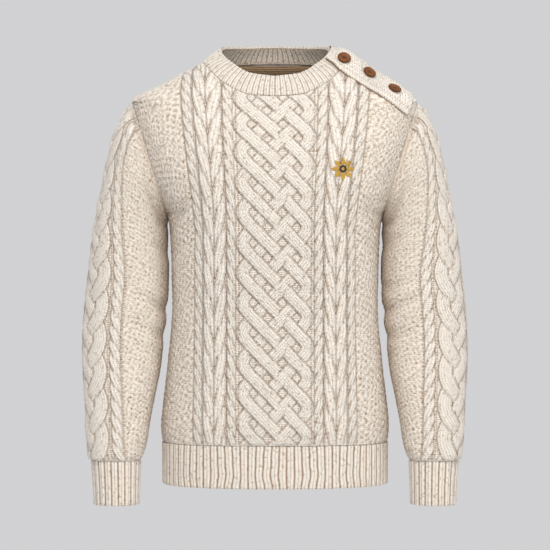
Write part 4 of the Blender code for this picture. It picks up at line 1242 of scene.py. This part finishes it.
def wool_material(name):
    """Heathered wool: stitches that follow the knitting, painted shade in its grooves and where the
    surround is hidden, and small tan and dark flecks.
    """
    n = Nodes(name)
    uv = n.add("ShaderNodeUVMap", uv_map="stitch").outputs[0]
    split = n.add("ShaderNodeSeparateXYZ", {0: uv})
    across = n.math("DIVIDE", split.outputs[0], WALE)
    along = n.math("DIVIDE", split.outputs[1], ROW)
    leg = n.math("ABSOLUTE", n.math("SUBTRACT", n.math("FRACT", across), 0.5))
    slant = n.math("ADD", along, n.math("MULTIPLY", leg, 1.6))
    loops = n.math("SINE", n.math("MULTIPLY", slant, 2 * math.pi))
    between = n.math("POWER", n.math("MULTIPLY", leg, 2.0), 3.0)
    knit = n.math("SUBTRACT", n.math("MULTIPLY", loops, 0.42), between)
    ridge = n.math("SINE", n.math("MULTIPLY", along, 2 * math.pi))
    bead = n.math("COSINE", n.math("MULTIPLY", across, 2 * math.pi))
    purl = n.math("ADD", n.math("MULTIPLY", ridge, 0.6), n.math("MULTIPLY", bead, 0.4))
    stitch = n.add("ShaderNodeMix", {0: n.attribute("purl"), 2: knit, 3: purl}, data_type="FLOAT")
    fibre = n.noise(n.place, 900.0, 4.0).outputs[0]
    uneven = n.noise(n.place, 170.0, 3.0).outputs[0]
    fleck = n.noise(n.place, 250.0, 3.0).outputs[0]
    tuft = n.add("ShaderNodeSeparateXYZ", {0: n.noise(n.place, 290.0, 2.0).outputs[1]}).outputs[0]
    height = n.math("ADD", stitch.outputs[0], n.math("MULTIPLY", fibre, 0.7))
    height = n.math("ADD", height, n.math("MULTIPLY", uneven, 1.2))
    tufted = n.math("ADD", height, n.math("MULTIPLY", tuft, 3.5))
    # Painted shade: the depth attribute darkens grooves, strand edges and hollows towards the groove
    # shade
    depth = n.remap(n.attribute("depth"), 0.0, 1.0)
    colour = n.mix(depth, GROOVE_SHADE_AND_HEATHER, CREAM)
    # Painted shade: the low parts of the stitch bump darken towards the groove shade
    low = n.remap(n.math("MULTIPLY", height, -1.0), -0.75, 0.5)
    colour = n.mix(n.math("MULTIPLY", low, 0.5), colour, GROOVE_SHADE_AND_HEATHER)
    spots = n.math("MULTIPLY", n.remap(fleck, 0.57, 0.66), n.math("SUBTRACT", 1.6, depth))
    colour = n.mix(n.math("MULTIPLY", spots, 0.8), colour, SPECK)
    cloudy = n.remap(uneven, 0.40, 0.65)
    colour = n.mix(n.math("MULTIPLY", cloudy, 0.16), colour, GROOVE_SHADE_AND_HEATHER)
    # Painted shade: where the surround is hidden within 45 mm, the colour turns towards SHADE
    open_sky = n.add("ShaderNodeAmbientOcclusion", {"Distance": 45 * MM}, samples=6).outputs["AO"]
    painted_shade = n.math("SUBTRACT", 1.0, n.remap(open_sky, 0.10, 0.85))
    colour = n.mix(n.math("MULTIPLY", painted_shade, 0.6), colour, SHADE)
    # Painted shade: the inside walls turn towards the inside shade colour
    colour = n.mix(n.attribute("inside"), colour, INSIDE_SHADE)
    others = {"Specular IOR Level": 0.25, "Sheen Weight": 0.25, "Sheen Roughness": 0.6}
    return n.finish(colour, (1.0, 0.9 * MM, tufted), 0.92, others)


def wood_material():
    """Oiled brown wood with a curved grain, darker streaks, and a darker rim and middle."""
    n = Nodes("button_wood")
    stretched = n.add("ShaderNodeMapping", {"Vector": n.place, "Scale": (1.0, 0.16, 1.0)}).outputs[0]
    streak = n.math("MULTIPLY", n.noise(stretched, 900.0, 6.0).outputs[0], 0.6)
    broad = n.math("MULTIPLY", n.noise(stretched, 260.0, 2.0).outputs[0], 0.5)
    grain = n.math("ADD", streak, broad)
    colour = n.mix(n.remap(grain, 0.40, 0.68), WOOD_DARK, WOOD_LIGHT)
    flat = n.add("ShaderNodeVectorMath", {0: n.place, 1: (1.0, 1.0, 0.0)}, operation="MULTIPLY")
    radius = n.add("ShaderNodeVectorMath", {0: flat.outputs[0]}, operation="LENGTH").outputs["Value"]
    rim, middle = n.remap(radius, 8.3 * MM, 9.9 * MM), n.remap(radius, 4.2 * MM, 2.4 * MM)
    # Darker at the rim and in the middle
    rim_and_middle = n.math("MULTIPLY", n.math("ADD", rim, middle), 0.8)
    colour = n.mix(rim_and_middle, colour, WOOD_DARK)
    return n.finish(colour, (0.3, 0.15 * MM, grain), 0.6, {"Specular IOR Level": 0.2})


def thread_material(name, colour, roughness, sheen):
    """Twisted thread: fine slanting ridges and a little uneven colour."""
    n = Nodes(name)
    ridges = {"Vector": n.place, "Scale": 1300.0, "Distortion": 1.5}
    wave = n.add("ShaderNodeTexWave", ridges, bands_direction="DIAGONAL").outputs[1]
    uneven = n.remap(n.noise(n.place, 700.0, 2.0).outputs[0], 0.35, 0.65)
    shade = n.mix(uneven, darker(colour, 0.55), colour)
    return n.finish(shade, (0.5, 0.2 * MM, wave), roughness, {"Sheen Weight": sheen})


def floor_material():
    n = Nodes("pale_floor")
    shade = n.mix(n.noise(n.place, 3.0, 2.0).outputs[0], darker(FLOOR, 0.985), FLOOR)
    n.join(n.tree.nodes["Principled BSDF"], {"Base Color": shade, "Roughness": 0.8})
    return n.material


def link(obj):
    bpy.context.scene.collection.objects.link(obj)
    return obj


def turned_button(name, material):
    """A turned disc with a raised rim and four drilled holes."""
    mesh = bpy.data.meshes.new(name)
    points = [(radius, 0.0, height) for radius, height in reversed(BUTTON_OUTLINE)]
    mesh.from_pydata(points, [(k, k + 1) for k in range(len(points) - 1)], [])
    button = link(bpy.data.objects.new(name, mesh))
    turn = button.modifiers.new("turn", "SCREW")
    turn.steps = BUTTON_STEPS
    turn.render_steps = BUTTON_STEPS
    turn.use_merge_vertices = True
    turn.merge_threshold = 0.01 * MM
    drills = []
    off = BUTTON_HOLE_OFFSET
    for x, y in ((-off, -off), (-off, off), (off, -off), (off, off)):
        bpy.ops.mesh.primitive_cylinder_add(vertices=20, radius=BUTTON_HOLE, depth=20 * MM)
        drill = bpy.context.object
        drill.location = (x, y, 0)
        drills.append(drill)
        cut = button.modifiers.new("hole", "BOOLEAN")
        cut.object = drill
    bpy.context.view_layer.update()
    done = bpy.data.meshes.new_from_object(button.evaluated_get(bpy.context.evaluated_depsgraph_get()))
    for drill in drills:
        bpy.data.objects.remove(drill)
    button.modifiers.clear()
    button.data = done
    done.shade_smooth()
    done.set_sharp_from_angle(angle=math.radians(45))
    done.materials.clear()
    done.materials.append(material)
    return button


def tube_mesh(name, lines, radius, material, sides):
    """Round threads along lines of points, as one mesh."""
    turns = np.linspace(0, 2 * math.pi, sides, endpoint=False)
    points, faces = [], []
    for line in lines:
        line = np.asarray(line, float)
        along = unit(np.gradient(line, axis=0))
        upright = abs(along[:, 2]).mean() >= 0.9
        across = unit(np.cross(along, (1.0, 0.0, 0.0) if upright else (0.0, 0.0, 1.0)))
        up = np.cross(across, along)
        start = len(points)
        for centre, a, b in zip(line, across, up):
            points.extend(tuple(centre + radius * (math.cos(t) * a + math.sin(t) * b)) for t in turns)
        for k in range(len(line) - 1):
            for s in range(sides):
                low, high = start + k * sides, start + (k + 1) * sides
                after = (s + 1) % sides
                faces.append((low + s, low + after, high + after, high + s))
        faces.append(tuple(start + s for s in range(sides))[::-1])
        faces.append(tuple(start + (len(line) - 1) * sides + s for s in range(sides)))
    mesh = bpy.data.meshes.new(name)
    mesh.from_pydata(points, [], faces)
    mesh.shade_smooth()
    mesh.materials.append(material)
    return link(bpy.data.objects.new(name, mesh))


def button_threads(name, material):
    """Two crossed stitches through the holes, in the button's own frame."""
    reach = BUTTON_HOLE_OFFSET
    lines = []
    for ends in (((-1, -1), (1, 1)), ((-1, 1), (1, -1))):
        (x0, y0), (x1, y1) = ends
        for shift in (-0.35 * MM, 0.35 * MM):
            t = np.linspace(0, 1, 13)
            x = (x0 + (x1 - x0) * t) * reach + shift * (y1 - y0) / 2
            y = (y0 + (y1 - y0) * t) * reach - shift * (x1 - x0) / 2
            dip = np.clip(np.abs(2 * t - 1) - 0.82, 0, 1) / 0.18
            lift = 0.45 * MM * (1 if ends[0] == (-1, 1) else 0.2) * (1 - (2 * t - 1) ** 2)
            z = 3.15 * MM + lift - 2.2 * MM * dip
            lines.append(np.stack([x, y, z], axis=-1))
    return tube_mesh(name, lines, 0.38 * MM, material, 7)


def make_buttons(surface, wood, thread):
    places, points = placket_facets(surface)
    for number, (x, z) in enumerate(BUTTONS, 1):
        nearest = np.argmin(np.hypot(points[:, 0] - x, points[:, 2] - z))
        facing = surface_normal(surface, *places[nearest])
        heights = (points - points[nearest]) @ facing
        below = np.linalg.norm(points - points[nearest], axis=1) < BUTTON_RADIUS + MM
        seat = points[nearest] + (heights[below].max() + BUTTON_CLEAR) * facing
        node = f"button_{number}"
        button = turned_button(node + "_turned", wood)
        stitches = button_threads(node + "_thread", thread)
        turn = mathutils.Vector(facing).to_track_quat("Z", "Y").to_matrix().to_4x4()
        spin = mathutils.Matrix.Rotation(math.radians(BUTTON_SPIN * number), 4, "Z")
        where = mathutils.Matrix.Translation(seat) @ turn @ spin
        for obj in (button, stitches):
            obj.matrix_world = where
            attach(obj, "root")
        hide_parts(node)


def make_rosette(panel, gold, black):
    """A plain eight-petalled rosette in satin stitch, laid on the knitting."""
    bpy.context.view_layer.update()
    tree = BVHTree.FromObject(panel, bpy.context.evaluated_depsgraph_get())

    def settled(x, z, lift):
        """The place on the knitting behind x and z, raised by lift towards the front."""
        hit = tree.ray_cast(mathutils.Vector((x, -1.0, z)), mathutils.Vector((0, 1, 0)))[0]
        return np.array(hit) + np.array([0, -lift, 0])

    def satin(name, count, turned, near, far, wide, lift, material):
        """Leaves of stitches round the middle, each from near to far."""
        lines = []
        for leaf in range(count):
            angle = 2 * math.pi * (leaf + turned) / count
            c, s = math.cos(angle), math.sin(angle)
            for k in range(int((far - near) / SATIN_GAP) + 1):
                r = near + k * SATIN_GAP
                t = (r - near) / (far - near)
                half = wide * math.sin(math.pi * min(max(t, 0.04), 0.96)) ** 0.6
                line = []
                for w in np.linspace(-half, half, 7):
                    out = r + 0.6 * MM * (1 - (w / half) ** 2)
                    x = ROSETTE_X + out * c - w * s
                    z = ROSETTE_Z + out * s + w * c
                    line.append(settled(x, z, lift * (1 - 0.8 * (w / half) ** 4)))
                lines.append(line)
        made = tube_mesh(name, lines, 0.42 * MM, material, 6)
        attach(made, "root")

    satin("rosette_petals", 8, 0.0, 5.2 * MM, ROSETTE_REACH, 3.6 * MM, 0.7 * MM, gold)
    satin("rosette_ring", 12, 0.5, 2.4 * MM, 5.4 * MM, 1.6 * MM, 0.9 * MM, black)
    satin("rosette_eye", 6, 0.0, 0.2 * MM, 2.4 * MM, 1.2 * MM, 1.1 * MM, gold)


def make_studio():
    """A wide soft light from above, three fill lights, an even surround and a pale floor."""
    scene = bpy.context.scene
    scene.view_settings.view_transform = "Standard"
    world = bpy.data.worlds.new("surround")
    scene.world = world
    world.use_nodes = True
    background = world.node_tree.nodes["Background"]
    background.inputs[0].default_value = SURROUND
    background.inputs[1].default_value = 1.0
    for name, place, size, power in LIGHTS:
        light = bpy.data.lights.new(name, "AREA")
        light.shape = "DISK"
        light.size = size
        light.energy = power
        obj = link(bpy.data.objects.new(name, light))
        obj.location = place
        aim = mathutils.Vector((0, 0, -0.3)) - obj.location
        obj.rotation_euler = aim.to_track_quat("-Z", "Y").to_euler()
    bpy.ops.mesh.primitive_circle_add(vertices=96, radius=1.8, fill_type="NGON", location=(0, 0, -1.1))
    floor = bpy.context.object
    floor.name = "floor"
    floor.data.materials.append(floor_material())
    camera = bpy.data.cameras.new("camera")
    camera.sensor_width = 36.0
    camera.lens = CAMERA_LENS
    view = link(bpy.data.objects.new("camera", camera))
    view.location = (0.0, -CAMERA_AWAY, CAMERA_Z)
    view.rotation_euler = (math.radians(90), 0, 0)
    scene.camera = view


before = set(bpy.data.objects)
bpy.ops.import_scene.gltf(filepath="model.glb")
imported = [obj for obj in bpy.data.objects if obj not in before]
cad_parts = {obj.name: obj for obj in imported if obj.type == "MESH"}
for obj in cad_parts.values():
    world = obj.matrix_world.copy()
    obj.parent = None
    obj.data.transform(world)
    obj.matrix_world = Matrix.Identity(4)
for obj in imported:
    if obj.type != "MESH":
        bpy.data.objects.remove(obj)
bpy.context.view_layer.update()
make_studio()
wool = wool_material("heather_wool")
surface = placket_surface()
shells = {
    "front_panel": make_panel("front_knit", -1, wool),
    "back_panel": make_panel("back_knit", 1, wool),
    "hem_rib_front": make_hem("front_hem", -1, wool),
    "hem_rib_back": make_hem("back_hem", 1, wool),
    "sleeve_left": make_sleeve("left_sleeve", "left", wool),
    "sleeve_right": make_sleeve("right_sleeve", "right", wool),
    "cuff_left": make_cuff("left_cuff", "left", wool),
    "cuff_right": make_cuff("right_cuff", "right", wool),
    "collar": make_collar(wool),
    "shoulder_placket": make_placket(surface, wool),
}
for node, shell in shells.items():
    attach(shell, "root")
    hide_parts(node)
make_buttons(surface, wood_material(), thread_material("button_thread", THREAD, 0.8, 0.2))
make_rosette(
    shells["front_panel"],
    thread_material("gold_thread", GOLD, 0.45, 0.1),
    thread_material("black_thread", BLACK, 0.5, 0.1),
)
